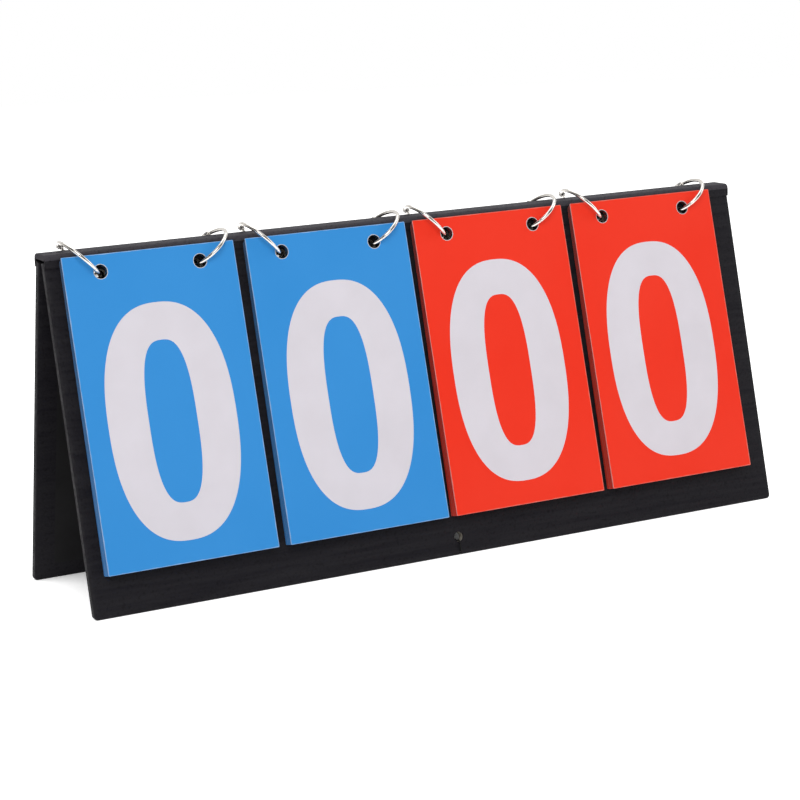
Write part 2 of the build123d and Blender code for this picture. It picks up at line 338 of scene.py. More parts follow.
def add_node(tree: bpy.types.NodeTree, kind: str, inputs: dict | None = None, **settings: object) -> bpy.types.Node:
    """Adds a node with its settings, and gives its inputs numbers or links.

    Args:
        tree: the node tree.
        kind: the node type's name after ShaderNode.
        inputs: socket name or number to a value or to another node's socket.
        settings: the node's own properties.

    Returns:
        The new node.
    """
    node = tree.nodes.new("ShaderNode" + kind)
    for key, value in settings.items():
        setattr(node, key, value)
    for key, value in (inputs or {}).items():
        if isinstance(value, bpy.types.NodeSocket):
            tree.links.new(value, node.inputs[key])
        else:
            node.inputs[key].default_value = value
    return node


def maths(tree: bpy.types.NodeTree, operation: str, *values: float | Socket, clamp: bool = False) -> Socket:
    """A Math node's result."""
    return add_node(tree, "Math", dict(enumerate(values)), operation=operation, use_clamp=clamp).outputs[0]


def span(tree: bpy.types.NodeTree, value: Socket, *ends: float) -> Socket:
    """A value carried from one range to another: from low, from high, to low, to high."""
    return add_node(tree, "MapRange", {"Value": value, **dict(zip((1, 2, 3, 4), ends))}).outputs[0]


def leather_grain_effect() -> bpy.types.NodeTree:
    """Embossed grain: rounded cells of two sizes with creases between them, and fine dust-like pits.

    Returns:
        The shader group.
    """
    bend_scale, bend, pit_share = 260.0, 0.0012, 0.3
    cushion_top, cushion_foot, crease_end = 0.15, 0.75, 0.45
    effect = Effect("leather_grain", {"Vector": None, "Cell Scale": 900.0, "Pit Scale": 4200.0}, ("Height", "Crease"))
    t, s = effect.tree, effect.start.outputs
    bent = add_node(t, "TexNoise", {"Vector": s["Vector"], "Scale": bend_scale, "Detail": 2.0})
    shift = add_node(t, "VectorMath", {0: bent.outputs["Color"], "Scale": bend}, operation="SCALE")
    where = add_node(t, "VectorMath", {0: s["Vector"], 1: shift.outputs[0]}, operation="ADD").outputs[0]
    cells = add_node(t, "TexVoronoi", {"Vector": where, "Scale": s["Cell Scale"]}, feature="SMOOTH_F1")
    pits = add_node(t, "TexNoise", {"Vector": where, "Scale": s["Pit Scale"], "Detail": 3.0, "Roughness": 0.6})
    cushion = span(t, cells.outputs["Distance"], cushion_top, cushion_foot, 1.0, 0.0)
    effect.give("Height", maths(t, "MULTIPLY_ADD", pits.outputs["Fac"], pit_share, cushion))
    effect.give("Crease", span(t, cushion, 0.0, crease_end, 1.0, 0.0))
    return effect.tree


def fibre_effect() -> bpy.types.NodeTree:
    """Paper fibres: noise drawn out along X, crossed with finer noise drawn out along Z, over soft clouds.

    Returns:
        The shader group.
    """
    long_squeeze, cross_squeeze, cross_turn = (0.18, 1.0, 1.0), (1.0, 1.0, 0.2), (0.4, 0.5, 0.3)
    cloud_scale, cloud_low, cloud_high = 55.0, 0.3, 0.7
    effect = Effect("paper_fibre", {"Vector": None, "Scale": 900.0}, ("Height", "Cloud"))
    t, s = effect.tree, effect.start.outputs
    long_way = add_node(t, "Mapping", {"Vector": s["Vector"], "Scale": long_squeeze})
    cross_way = add_node(t, "Mapping", {"Vector": s["Vector"], "Rotation": cross_turn, "Scale": cross_squeeze})
    first = add_node(t, "TexNoise", {"Vector": long_way.outputs[0], "Scale": s["Scale"], "Detail": 4.0})
    second = add_node(t, "TexNoise", {"Vector": cross_way.outputs[0], "Scale": s["Scale"], "Detail": 4.0})
    cloud = add_node(t, "TexNoise", {"Vector": s["Vector"], "Scale": cloud_scale, "Detail": 3.0})
    effect.give("Height", maths(t, "ADD", first.outputs["Fac"], second.outputs["Fac"]))
    effect.give("Cloud", span(t, cloud.outputs["Fac"], cloud_low, cloud_high, 0.0, 1.0))
    return effect.tree


def edge_wear_effect() -> bpy.types.NodeTree:
    """Rubbing near the board's two ends and its foot, broken up by noise.

    The mask is one where the distance to an end, or to the table, is nil, and falls to zero over the band.

    Returns:
        The shader group.
    """
    patch_low, patch_high = 0.42, 0.68
    effect = Effect("edge_wear", {"Vector": None, "Half Length": 0.19, "Band": 0.003, "Patch Scale": 420.0}, ("Mask",))
    t, s = effect.tree, effect.start.outputs
    place = add_node(t, "SeparateXYZ", {0: s["Vector"]}).outputs
    to_end = maths(t, "SUBTRACT", s["Half Length"], maths(t, "ABSOLUTE", place["X"]))
    nearest = maths(t, "MINIMUM", to_end, place["Z"])
    near = maths(t, "SUBTRACT", 1.0, maths(t, "DIVIDE", nearest, s["Band"]), clamp=True)
    patch = add_node(t, "TexNoise", {"Vector": s["Vector"], "Scale": s["Patch Scale"], "Detail": 5.0})
    broken = span(t, patch.outputs["Fac"], patch_low, patch_high, 0.0, 1.0)
    effect.give("Mask", maths(t, "MULTIPLY", near, broken))
    return effect.tree


def handling_effect() -> bpy.types.NodeTree:
    """Handling marks: wide smudges, and long hair-fine scratches where drawn-out noise crosses its middle value.

    Returns:
        The shader group.
    """
    lean, squeeze = (0.7, 0.3, 0.9), (1.0, 0.12, 1.0)
    smudge_low, smudge_high, scratch_width = 0.35, 0.65, 0.006
    inputs = {"Vector": None, "Smudge Scale": 28.0, "Scratch Scale": 60.0}
    effect = Effect("handling_marks", inputs, ("Smudge", "Scratch"))
    t, s = effect.tree, effect.start.outputs
    smudge = add_node(t, "TexNoise", {"Vector": s["Vector"], "Scale": s["Smudge Scale"], "Detail": 4.0})
    leaning = add_node(t, "Mapping", {"Vector": s["Vector"], "Rotation": lean, "Scale": squeeze})
    hair = add_node(t, "TexNoise", {"Vector": leaning.outputs[0], "Scale": s["Scratch Scale"], "Detail": 6.0})
    ridge = maths(t, "ABSOLUTE", maths(t, "SUBTRACT", hair.outputs["Fac"], 0.5))
    effect.give("Smudge", span(t, smudge.outputs["Fac"], smudge_low, smudge_high, 0.0, 1.0))
    effect.give("Scratch", span(t, ridge, 0.0, scratch_width, 1.0, 0.0))
    return effect.tree


def streak_effect() -> bpy.types.NodeTree:
    """Paler streaks along the board: noise drawn out many times along X.

    Returns:
        The shader group.
    """
    squeeze, streak_low, streak_high = (0.05, 1.0, 1.0), 0.35, 0.65
    effect = Effect("long_streaks", {"Vector": None, "Scale": 420.0}, ("Streak",))
    t, s = effect.tree, effect.start.outputs
    drawn = add_node(t, "Mapping", {"Vector": s["Vector"], "Scale": squeeze})
    noise = add_node(t, "TexNoise", {"Vector": drawn.outputs[0], "Scale": s["Scale"], "Detail": 5.0, "Roughness": 0.6})
    effect.give("Streak", span(t, noise.outputs["Fac"], streak_low, streak_high, 0.0, 1.0))
    return effect.tree


def hole_shade_effect() -> bpy.types.NodeTree:
    """One round a stack's two punched holes and nought elsewhere: where the cut edges get painted hole shade.

    With x counted from the stack's middle, a point is in it where ||x| - spacing / 2| and |z - height| are under
    the reach.

    Returns:
        The shader group.
    """
    inputs = {"Vector": None, "Centre": 0.0, "Half Spacing": 0.02475, "Height": 0.1535, "Reach": 0.0047}
    effect = Effect("hole_walls", inputs, ("Mask",))
    t, s = effect.tree, effect.start.outputs
    place = add_node(t, "SeparateXYZ", {0: s["Vector"]}).outputs
    across = maths(t, "ABSOLUTE", maths(t, "SUBTRACT", place["X"], s["Centre"]))
    aside = maths(t, "ABSOLUTE", maths(t, "SUBTRACT", across, s["Half Spacing"]))
    above = maths(t, "ABSOLUTE", maths(t, "SUBTRACT", place["Z"], s["Height"]))
    farthest = maths(t, "MAXIMUM", aside, above)
    effect.give("Mask", maths(t, "LESS_THAN", farthest, s["Reach"]))
    return effect.tree


class Effects:
    """The shared node groups, each built once."""

    def __init__(self) -> None:
        """Builds every group."""
        self.grain = leather_grain_effect()
        self.fibre = fibre_effect()
        self.wear = edge_wear_effect()
        self.marks = handling_effect()
        self.streaks = streak_effect()
        self.hole_walls = hole_shade_effect()


# ---------------------------------------------------------------- finishes


class Surface:
    """A material being built: its tree, its Principled shader and its coordinates."""

    def __init__(self, name: str, **constants: float | tuple) -> None:
        """Makes the material and sets what is the same all over it on the shader's own sockets.

        Args:
            name: the material's name.
            constants: socket name, with _ for a space, to its value.
        """
        self.material = bpy.data.materials.new(name)
        self.material.use_nodes = True
        self.tree = self.material.node_tree
        self.shader = self.tree.nodes["Principled BSDF"]
        for key, value in constants.items():
            self.shader.inputs[key.replace("_", " ")].default_value = value
        self.places = add_node(self.tree, "TexCoord").outputs

    def use(self, effect: bpy.types.NodeTree, source: str = "Object", **values: float) -> bpy.types.NodeOutputs:
        """Places a shared effect.

        Args:
            effect: the shader group.
            source: the coordinates that it reads.
            values: values for its inputs, with underscores for spaces.

        Returns:
            The placed group's outputs.
        """
        node = self.tree.nodes.new("ShaderNodeGroup")
        node.node_tree = effect
        self.tree.links.new(self.places[source], node.inputs["Vector"])
        for key, value in values.items():
            node.inputs[key.replace("_", " ")].default_value = value
        return node.outputs

    def mixed(self, mask: Socket, low: Colour | Socket, high: Colour | Socket) -> Socket:
        """Two colours mixed by a mask."""
        ends = {key: value if isinstance(value, Socket) else (*value, 1.0) for key, value in ((6, low), (7, high))}
        return add_node(self.tree, "Mix", {0: mask, **ends}, data_type="RGBA").outputs[2]

    def give(self, socket: str, value: Socket) -> None:
        """Links a value to the Principled shader."""
        self.tree.links.new(value, self.shader.inputs[socket])

    def bump(self, height: Socket, distance: float, strength: float = 1.0) -> None:
        """Gives the shader a relief of that height in metres."""
        node = add_node(self.tree, "Bump", {"Height": height, "Distance": distance, "Strength": strength})
        self.give("Normal", node.outputs[0])

    def maths(self, operation: str, *values: float | Socket, clamp: bool = False) -> Socket:
        """A Math node's result in this material."""
        return maths(self.tree, operation, *values, clamp=clamp)

    def share_along(self, source: str, direction: tuple[float, float, float]) -> Socket:
        """How far one of the coordinates goes along a direction."""
        node = add_node(self.tree, "VectorMath", {0: self.places[source], 1: direction}, operation="DOT_PRODUCT")
        return node.outputs["Value"]


@dataclass(frozen=True)
class LeatherCloth:
    """Black embossed covering cloth, with painted shade in its grain's creases, paler and rougher where edges have
    rubbed.
    """

    name: str = "black_leather_cloth"
    pile: Colour = (0.0080, 0.0071, 0.0104)
    # Painted shade: the colour in the creases of the grain.
    crease: Colour = (0.0042, 0.0037, 0.0056)
    rubbed: Colour = (0.045, 0.043, 0.045)
    cell_scale: float = 1050.0
    relief: float = 0.00006
    specular: float = 0.16
    streak_shade: float = 0.2
    wear_shade: float = 0.3
    roughness: float = 0.46
    smudge_rough: float = 0.1
    streak_rough: float = 0.16
    crease_rough: float = 0.15
    wear_rough: float = 0.2
    scratch_depth: float = 0.15

    def build(self, effects: Effects) -> bpy.types.Material:
        """Builds the finish.

        Args:
            effects: the shared shader groups.

        Returns:
            The Blender material.
        """
        s = Surface(self.name, Metallic=0.0, IOR=1.45, Specular_IOR_Level=self.specular)
        grain = s.use(effects.grain, Cell_Scale=self.cell_scale)
        wear = s.use(effects.wear)["Mask"]
        marks = s.use(effects.marks)
        streak = s.use(effects.streaks)["Streak"]
        # Painted shade in the grain's creases.
        base = s.mixed(grain["Crease"], self.pile, self.crease)
        # Paler streaks along the board, and wear at its ends and foot.
        streaks_and_wear = s.maths("MULTIPLY_ADD", streak, self.streak_shade, s.maths("MULTIPLY", wear, self.wear_shade))
        s.give("Base Color", s.mixed(streaks_and_wear, base, self.rubbed))
        rough = s.maths("MULTIPLY_ADD", marks["Smudge"], self.smudge_rough, self.roughness)
        rough = s.maths("MULTIPLY_ADD", streak, self.streak_rough, rough)
        rough = s.maths("MULTIPLY_ADD", grain["Crease"], self.crease_rough, rough)
        s.give("Roughness", s.maths("MULTIPLY_ADD", wear, self.wear_rough, rough, clamp=True))
        s.bump(s.maths("MULTIPLY_ADD", marks["Scratch"], -self.scratch_depth, grain["Height"]), self.relief)
        return s.material


@dataclass(frozen=True)
class Paper:
    """A plain sheet or board: one body colour with clouds of a second, and fibres in relief."""

    name: str
    light: Colour
    dark: Colour
    roughness: float = 0.85
    scale: float = 900.0
    relief: float = 0.00004
    polish: float = 0.12

    def build(self, effects: Effects) -> bpy.types.Material:
        """Builds the finish.

        Args:
            effects: the shared shader groups.

        Returns:
            The Blender material.
        """
        s = Surface(self.name, Metallic=0.0, IOR=1.4, Specular_IOR_Level=0.2)
        fibre = s.use(effects.fibre, Scale=self.scale)
        marks = s.use(effects.marks)
        s.give("Base Color", s.mixed(fibre["Cloud"], self.light, self.dark))
        s.give("Roughness", s.maths("MULTIPLY_ADD", marks["Smudge"], -self.polish, self.roughness))
        s.bump(fibre["Height"], self.relief)
        return s.material


@dataclass(frozen=True)
class Coating:
    """The clear coating that the cards and their numerals share."""

    fibre_scale: float = 1500.0
    smudge_scale: float = 16.0
    smudge_rough: float = 0.08
    relief: float = 0.00001
    strength: float = 0.6


@dataclass(frozen=True)
class PrintedCard:
    """Coated card: solid ink on the face that looks out, white stock on the back, and cut edges of their own.

    The surface's own normal tells the sides apart: its share along the face direction is near 1 on the
    printed face, near -1 on the back and near 0 on the edges. Along the edges the two edge colours change with
    the depth in the stack; they are painted darker towards the top, as the shadow between the stacks, and
    near-black round the holes, as the shade inside them.
    """

    name: str
    ink: Colour
    worn_ink: Colour
    edges: tuple[Colour, Colour]
    centre: float
    face: tuple[float, float, float]
    stock: Colour = (0.71, 0.70, 0.69)
    # Painted shade: the near-black of the cut edges inside the holes and towards the stack's top.
    hole_wall: Colour = (0.03, 0.03, 0.032)
    # Painted shadow between the stacks: how dark the cut edges grow towards the top, and from what height to what
    # height.
    top_shade: float = 0.72
    top_shade_from: float = 0.02
    top_shade_to: float = 0.12
    face_range: tuple[float, float] = (0.7, 0.9)
    edge_range: tuple[float, float] = (0.5, 0.8)
    worn_share: float = 0.5
    stripe_scale: float = 1300.0
    stripe_range: tuple[float, float] = (0.4, 0.62)
    roughness: float = 0.36
    bare_rough: float = 0.3
    coating: Coating = Coating()

    def build(self, effects: Effects) -> bpy.types.Material:
        """Builds the finish.

        Args:
            effects: the shared shader groups.

        Returns:
            The Blender material.
        """
        s = Surface(self.name, Metallic=0.0, IOR=1.5, Specular_IOR_Level=0.3)
        facing = s.share_along("Normal", self.face)
        printed = span(s.tree, facing, *self.face_range, 0.0, 1.0)
        edge = span(s.tree, s.maths("ABSOLUTE", facing), *self.edge_range, 1.0, 0.0)
        fibre = s.use(effects.fibre, Scale=self.coating.fibre_scale)
        marks = s.use(effects.marks, Smudge_Scale=self.coating.smudge_scale)
        ink = s.mixed(s.maths("MULTIPLY", marks["Smudge"], self.worn_share), self.ink, self.worn_ink)
        stripe_inputs = {"W": s.share_along("Object", self.face), "Scale": self.stripe_scale, "Detail": 2.0}
        stripe = add_node(s.tree, "TexNoise", stripe_inputs, noise_dimensions="1D").outputs["Fac"]
        edge_ink = s.mixed(span(s.tree, stripe, *self.stripe_range, 0.0, 1.0), *self.edges)
        height = add_node(s.tree, "SeparateXYZ", {0: s.places["Object"]}).outputs["Z"]
        # Painted shadow between the stacks: the cut edges darken towards the top of the stack.
        dark = span(s.tree, height, self.top_shade_from, self.top_shade_to, 0.0, self.top_shade)
        edge_ink = s.mixed(dark, edge_ink, self.hole_wall)
        # Painted shade: the cut edges round the holes are near-black, as the shade inside the holes.
        cut = s.mixed(s.use(effects.hole_walls, Centre=self.centre)["Mask"], edge_ink, self.hole_wall)
        s.give("Base Color", s.mixed(printed, s.mixed(edge, self.stock, cut), ink))
        coated = s.maths("MULTIPLY_ADD", marks["Smudge"], self.coating.smudge_rough, self.roughness)
        bare = s.maths("SUBTRACT", 1.0, printed)
        s.give("Roughness", s.maths("MULTIPLY_ADD", bare, self.bare_rough, coated))
        s.bump(fibre["Height"], self.coating.relief, self.coating.strength)
        return s.material


INKS: dict[Team, tuple[Colour, Colour]] = {
    Team.BLUE: ((0.031, 0.275, 0.690), (0.036, 0.292, 0.715)),
    Team.RED: ((0.90, 0.028, 0.006), (0.92, 0.035, 0.009)),
}
EDGES: dict[Team, tuple[Colour, Colour]] = {
    Team.BLUE: ((0.040, 0.16, 0.42), (0.30, 0.42, 0.66)),
    Team.RED: ((0.40, 0.025, 0.02), (0.52, 0.22, 0.18)),
}
PALE_EDGES: tuple[Colour, Colour] = ((0.48, 0.50, 0.56), (0.62, 0.63, 0.67))
RUBBED: dict[Team, tuple[Colour, Colour]] = {
    Team.BLUE: ((0.34, 0.50, 0.74), (0.20, 0.40, 0.72)),
    Team.RED: ((0.80, 0.24, 0.19), (0.84, 0.13, 0.09)),
}


@dataclass(frozen=True)
class BareNumeral:
    """The unprinted stock inside a numeral, under the same coating."""

    name: str = "numeral_white"
    light: Colour = (0.735, 0.70, 0.755)
    dark: Colour = (0.70, 0.665, 0.715)
    roughness: float = 0.38
    coating: Coating = Coating()

    def build(self, effects: Effects) -> bpy.types.Material:
        """Builds the finish.

        Args:
            effects: the shared shader groups.

        Returns:
            The Blender material.
        """
        s = Surface(self.name, Metallic=0.0, IOR=1.5, Specular_IOR_Level=0.3)
        fibre = s.use(effects.fibre, Scale=self.coating.fibre_scale)
        marks = s.use(effects.marks, Smudge_Scale=self.coating.smudge_scale)
        s.give("Base Color", s.mixed(fibre["Cloud"], self.light, self.dark))
        s.give("Roughness", s.maths("MULTIPLY_ADD", marks["Smudge"], self.coating.smudge_rough, self.roughness))
        s.bump(fibre["Height"], self.coating.relief, self.coating.strength)
        return s.material


@dataclass(frozen=True)
class PlatedWire:
    """Nickel-plated or plain steel: fine marks from drawing, dulled patches and scratches."""

    name: str
    bright: Colour
    dull: Colour
    roughness: float
    draw_scale: float = 2400.0
    smudge_scale: float = 380.0
    scratch_scale: float = 900.0
    smudge_rough: float = 0.1
    scratch_rough: float = 0.15
    relief: float = 0.0000015

    def build(self, effects: Effects) -> bpy.types.Material:
        """Builds the finish.

        Args:
            effects: the shared shader groups.

        Returns:
            The Blender material.
        """
        s = Surface(self.name, Metallic=1.0, IOR=1.5)
        marks = s.use(effects.marks, Smudge_Scale=self.smudge_scale, Scratch_Scale=self.scratch_scale)
        drawn = add_node(s.tree, "TexNoise", {"Vector": s.places["Object"], "Scale": self.draw_scale, "Detail": 4.0})
        s.give("Base Color", s.mixed(marks["Smudge"], self.bright, self.dull))
        rough = s.maths("MULTIPLY_ADD", marks["Smudge"], self.smudge_rough, self.roughness)
        s.give("Roughness", s.maths("MULTIPLY_ADD", marks["Scratch"], self.scratch_rough, rough))
        s.bump(drawn.outputs["Fac"], self.relief)
        return s.material


@dataclass(frozen=True)
class SpunCord:
    """Dark twisted thread: fine yarns across the strands from the tube's own UV, with painted shade in the grooves."""

    name: str = "spun_cord"
    yarn: Colour = (0.022, 0.021, 0.022)
    # Painted shade in the grooves between the yarns.
    groove: Colour = (0.006, 0.006, 0.006)
    slant: float = 0.5
    yarn_scale: tuple[float, float, float] = (60.0, 14.0, 1.0)
    unevenness: float = 1.5
    fuzz_scale: float = 5200.0
    fuzz_share: float = 0.4
    roughness: float = 0.8
    cloud_rough: float = 0.1
    relief: float = 0.00004

    def build(self, effects: Effects) -> bpy.types.Material:
        """Builds the finish.

        Args:
            effects: the shared shader groups.

        Returns:
            The Blender material.
        """
        s = Surface(self.name, Metallic=0.0, IOR=1.45, Specular_IOR_Level=0.2)
        turned = {"Vector": s.places["UV"], "Rotation": (0, 0, self.slant), "Scale": self.yarn_scale}
        slanted = add_node(s.tree, "Mapping", turned).outputs[0]
        yarns = add_node(s.tree, "TexWave", {"Vector": slanted, "Scale": 1.0, "Distortion": self.unevenness})
        fuzz = s.use(effects.fibre, Scale=self.fuzz_scale)
        height = s.maths("MULTIPLY_ADD", fuzz["Height"], self.fuzz_share, yarns.outputs["Fac"])
        # Painted shade: darker in the grooves between the yarns.
        s.give("Base Color", s.mixed(yarns.outputs["Fac"], self.groove, self.yarn))
        s.give("Roughness", s.maths("MULTIPLY_ADD", fuzz["Cloud"], self.cloud_rough, self.roughness))
        s.bump(height, self.relief)
        return s.material


@dataclass(frozen=True)
class Tabletop:
    """The pale floor: shown at its own white to the camera and in reflections, with the object's shadow kept."""

    name: str = "pale_table"
    paint: Colour = (0.8, 0.8, 0.8)
    shown: float = 0.86
    reach: float = 0.2
    rays: int = 6
    covered: float = 0.06
    clear: float = 0.39

    def build(self) -> bpy.types.Material:
        """Builds the finish.

        Its own glow fades out where the object stands over it: from the clear share of free directions upwards
        down to the covered share. So the shade lies under the tent, and goes when the leaves close.

        Returns:
            The Blender material.
        """
        s = Surface(self.name, Roughness=0.9, Base_Color=(*self.paint, 1.0), Emission_Color=(1.0, 1.0, 1.0, 1.0))
        s.shader.inputs["Specular IOR Level"].default_value = 0.0
        free = add_node(s.tree, "AmbientOcclusion", {"Distance": self.reach}, samples=self.rays).outputs["AO"]
        lit = span(s.tree, free, self.covered, self.clear, 0.0, 1.0)
        s.give("Emission Strength", s.maths("MULTIPLY", s.maths("MULTIPLY", seen_directly(s.tree), lit), self.shown))
        return s.material


def seen_directly(tree: bpy.types.NodeTree) -> Socket:
    """One for camera, mirror and see-through rays, and nought for the rays that light the object.

    Args:
        tree: the node tree that the mask is made in.

    Returns:
        The mask.
    """
    rays = add_node(tree, "LightPath").outputs
    pair = maths(tree, "MAXIMUM", rays["Is Camera Ray"], rays["Is Glossy Ray"])
    return maths(tree, "MAXIMUM", pair, rays["Is Transmission Ray"])


# Painted sheen: the cover's cloth with its colours made some five times paler, for the light the spine's top catches,
# and less specular.
SPINE_PAINTED_SHEEN = LeatherCloth(
    "rubbed_spine_cloth", (0.046, 0.043, 0.051), (0.026, 0.024, 0.029), (0.095, 0.090, 0.098), specular=0.05
)
GREYBOARD = Paper("greyboard", (0.40, 0.37, 0.32), (0.30, 0.28, 0.24), 0.9, 700.0, 0.00012)
LINING = Paper("black_lining_paper", (0.012, 0.0115, 0.0125), (0.017, 0.0165, 0.0175), 0.72)
PUNCHED_RIM = Paper("punched_paper_rim", (0.66, 0.66, 0.68), (0.52, 0.52, 0.54), 0.9, 2600.0)
NICKEL_WIRE = PlatedWire("nickel_wire", (0.76, 0.73, 0.69), (0.62, 0.59, 0.55), 0.1)
STEEL_PIN = PlatedWire("steel_pin", (0.30, 0.29, 0.28), (0.20, 0.19, 0.19), 0.32, 5000.0)


class Wardrobe:
    """Every finish of the object, built once."""

    def __init__(self, face: tuple[float, float, float]) -> None:
        """Builds the materials.

        Args:
            face: the direction that the printed faces look in.
        """
        effects = Effects()
        self.cover = LeatherCloth().build(effects)
        # The spine cover gets the cloth with the painted sheen.
        self.spine = SPINE_PAINTED_SHEEN.build(effects)
        self.greyboard = GREYBOARD.build(effects)
        self.lining = LINING.build(effects)
        self.rubbed = {
            team: Paper(f"rubbed_{team.name.lower()}_edge", *RUBBED[team], 0.8, 2600.0).build(effects) for team in Team
        }
        self.effects, self.face = effects, face
        self.numeral = BareNumeral().build(effects)
        self.rim = PUNCHED_RIM.build(effects)
        self.wire = NICKEL_WIRE.build(effects)
        self.steel = STEEL_PIN.build(effects)
        self.cord = SpunCord().build(effects)

    def card(self, stack: str, team: Team, centre: float, front: bool) -> bpy.types.Material:
        """A card's finish: the front card's cut edge is pale, and the cards behind show the ink on theirs.

        Args:
            stack: the stack's letter.
            team: the card colour.
            centre: the stack's place along the board.
            front: whether this is the front card.

        Returns:
            The Blender material.
        """
        name = f"{team.name.lower()}_{'front' if front else 'rear'}_card_{stack}"
        edges = PALE_EDGES if front else EDGES[team]
        # Only the cards behind get the painted shadow towards the top.
        top_shade = 0.0 if front else PrintedCard.top_shade
        return PrintedCard(name, *INKS[team], edges, centre, self.face, top_shade=top_shade).build(self.effects)


def dress(node: str, material: bpy.types.Material) -> None:
    """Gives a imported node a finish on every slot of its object.

    Args:
        node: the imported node's name.
        material: the finish.
    """
    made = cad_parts[node]
    if not made.material_slots:
        made.data.materials.append(material)
    for slot in made.material_slots:
        slot.material = material
    log.info("node %s: %s", node, material.name)


# ---------------------------------------------------------------- the object


@dataclass(frozen=True)
class Slant:
    """A leaf's outer face: where it starts at its crease line, and how far it leans."""

    tilt: float = radians(13.0)
    crease_height: float = 160.4 * MM
    crease_offset: float = 5.5 * MM
    thickness: float = 4.1 * MM

    @property
    def foot(self) -> float:
        """Distance down the slant from the crease line to the table."""
        return self.crease_height / cos(self.tilt)

    def place(self, x: Grid, down: Grid, out: Grid, leaf: Leaf = Leaf.FRONT) -> Grid:
        """Points given by their place on a leaf.

        Args:
            x: along the board.
            down: down the slant from the crease line.
            out: out from the leaf's outer face.
            leaf: which leaf.

        Returns:
            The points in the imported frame, in a last axis of three.
        """
        x, down, out = np.broadcast_arrays(x, down, out)
        away = self.crease_offset + down * sin(self.tilt) + out * cos(self.tilt)
        height = self.crease_height - down * cos(self.tilt) + out * sin(self.tilt)
        return np.stack([x, leaf.value * away, height], -1)


@dataclass
class Stand:
    """The two covered leaves, the spine between them and the two creases that hinge them."""

    slant: Slant
    half_length: float = 190.0 * MM
    band: float = 0.4 * MM
    band_points: tuple[tuple[float, float], ...] = ((-0.62, 0.9), (-0.42, 1.22), (0.35, 0.62), (3.3, 0.26))
    band_steps: int = 26
    band_taper: float = 5.0
    band_thinnest: float = 0.25
    stations: int = 420
    wrinkle: float = 0.05 * MM
    wrinkle_place: float = 0.4 * MM
    wrinkle_reach: float = 1.4 * MM
    wrinkle_waves: tuple[tuple[float, float], ...] = ((1.9, 0.3), (3.1, 1.7), (5.3, 0.9))
    bend_from: tuple[float, float] = (-0.6 * MM, 1.0 * MM)
    bend_to: tuple[float, float] = (2.0 * MM, 0.4 * MM)

    def dress(self, wardrobe: Wardrobe) -> None:
        """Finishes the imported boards, covers and linings.

        Args:
            wardrobe: the finishes.
        """
        for part in ("spine", "front", "back"):
            # The spine cover takes the cloth with the painted sheen.
            dress(f"{part}_cover", wardrobe.spine if part == "spine" else wardrobe.cover)
            dress(f"{part}_board", wardrobe.greyboard)
            dress(f"{part}_lining", wardrobe.lining)

    def crease_section(self) -> Grid:
        """The band's closed section, as down and out on the leaf: a bend that leaves the spine and laps the face.

        The middle line is a cubic curve by its four control points, and the two sides stand half the
        band's thickness from it, which thins to nothing at the lap's end.

        Returns:
            The section's points, in metres.
        """
        step = np.linspace(0, 1, self.band_steps)[:, None]
        tuck = np.array(self.band_points) * MM
        curve = (1 - step) ** 3 * tuck[0] + 3 * step * (1 - step) ** 2 * tuck[1]
        curve = curve + 3 * step**2 * (1 - step) * tuck[2] + step**3 * tuck[3]
        along = np.gradient(curve, axis=0)
        along /= np.linalg.norm(along, axis=1, keepdims=True)
        across = np.stack([along[:, 1], -along[:, 0]], -1)
        half = self.band / 2 * np.clip((1.0 - step) * self.band_taper, self.band_thinnest, 1.0)
        return np.vstack([curve + across * half, (curve - across * half)[::-1]])

    def make_crease(self, leaf: Leaf, wardrobe: Wardrobe) -> None:
        """A crease: the section carried along the board, with fine folds across it.

        The folds are a mean of sines of the distance along the board, with no common period, and are
        strongest where the band bends. A sine's angle is the distance over its first number, in millimetres,
        plus its second number.

        Args:
            leaf: the leaf that the crease joins to the spine.
            wardrobe: the finishes.
        """
        section = self.crease_section()
        x = np.linspace(-self.half_length, self.half_length, self.stations)
        folds = sum(np.sin(x / MM / period + phase) for period, phase in self.wrinkle_waves) / len(self.wrinkle_waves)
        bend = np.exp(-(((section[:, 0] - self.wrinkle_place) / self.wrinkle_reach) ** 2))
        out = section[None, :, 1] + self.wrinkle * folds[:, None] * bend[None, :]
        down = np.broadcast_to(section[None, :, 0], out.shape)
        points = self.slant.place(x[:, None], down, out, leaf).reshape(-1, 3)
        count = len(section)
        faces = grid_faces(len(x), count, False, True).tolist()
        faces += [list(range(count)), [len(points) - 1 - i for i in range(count)]]
        name = f"{leaf.name.lower()}_crease_band"
        piece = Shell(points, faces).turned_out().piece(name, wardrobe.cover)
        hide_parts(f"{leaf.name.lower()}_crease")
        start = self.slant.place(0.0, *self.bend_from, leaf)
        end = self.slant.place(0.0, *self.bend_to, leaf)
        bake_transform(piece)
        log.info("piece %s: %d faces", name, len(faces))


def frayed(turn: Grid, waves: tuple[tuple[float, float, float], ...]) -> Grid:
    """One plus a sum of sines of the turn: each has its share, its count round the turn and its start."""
    return 1 + sum(share * np.sin(count * turn + start) for share, count, start in waves)


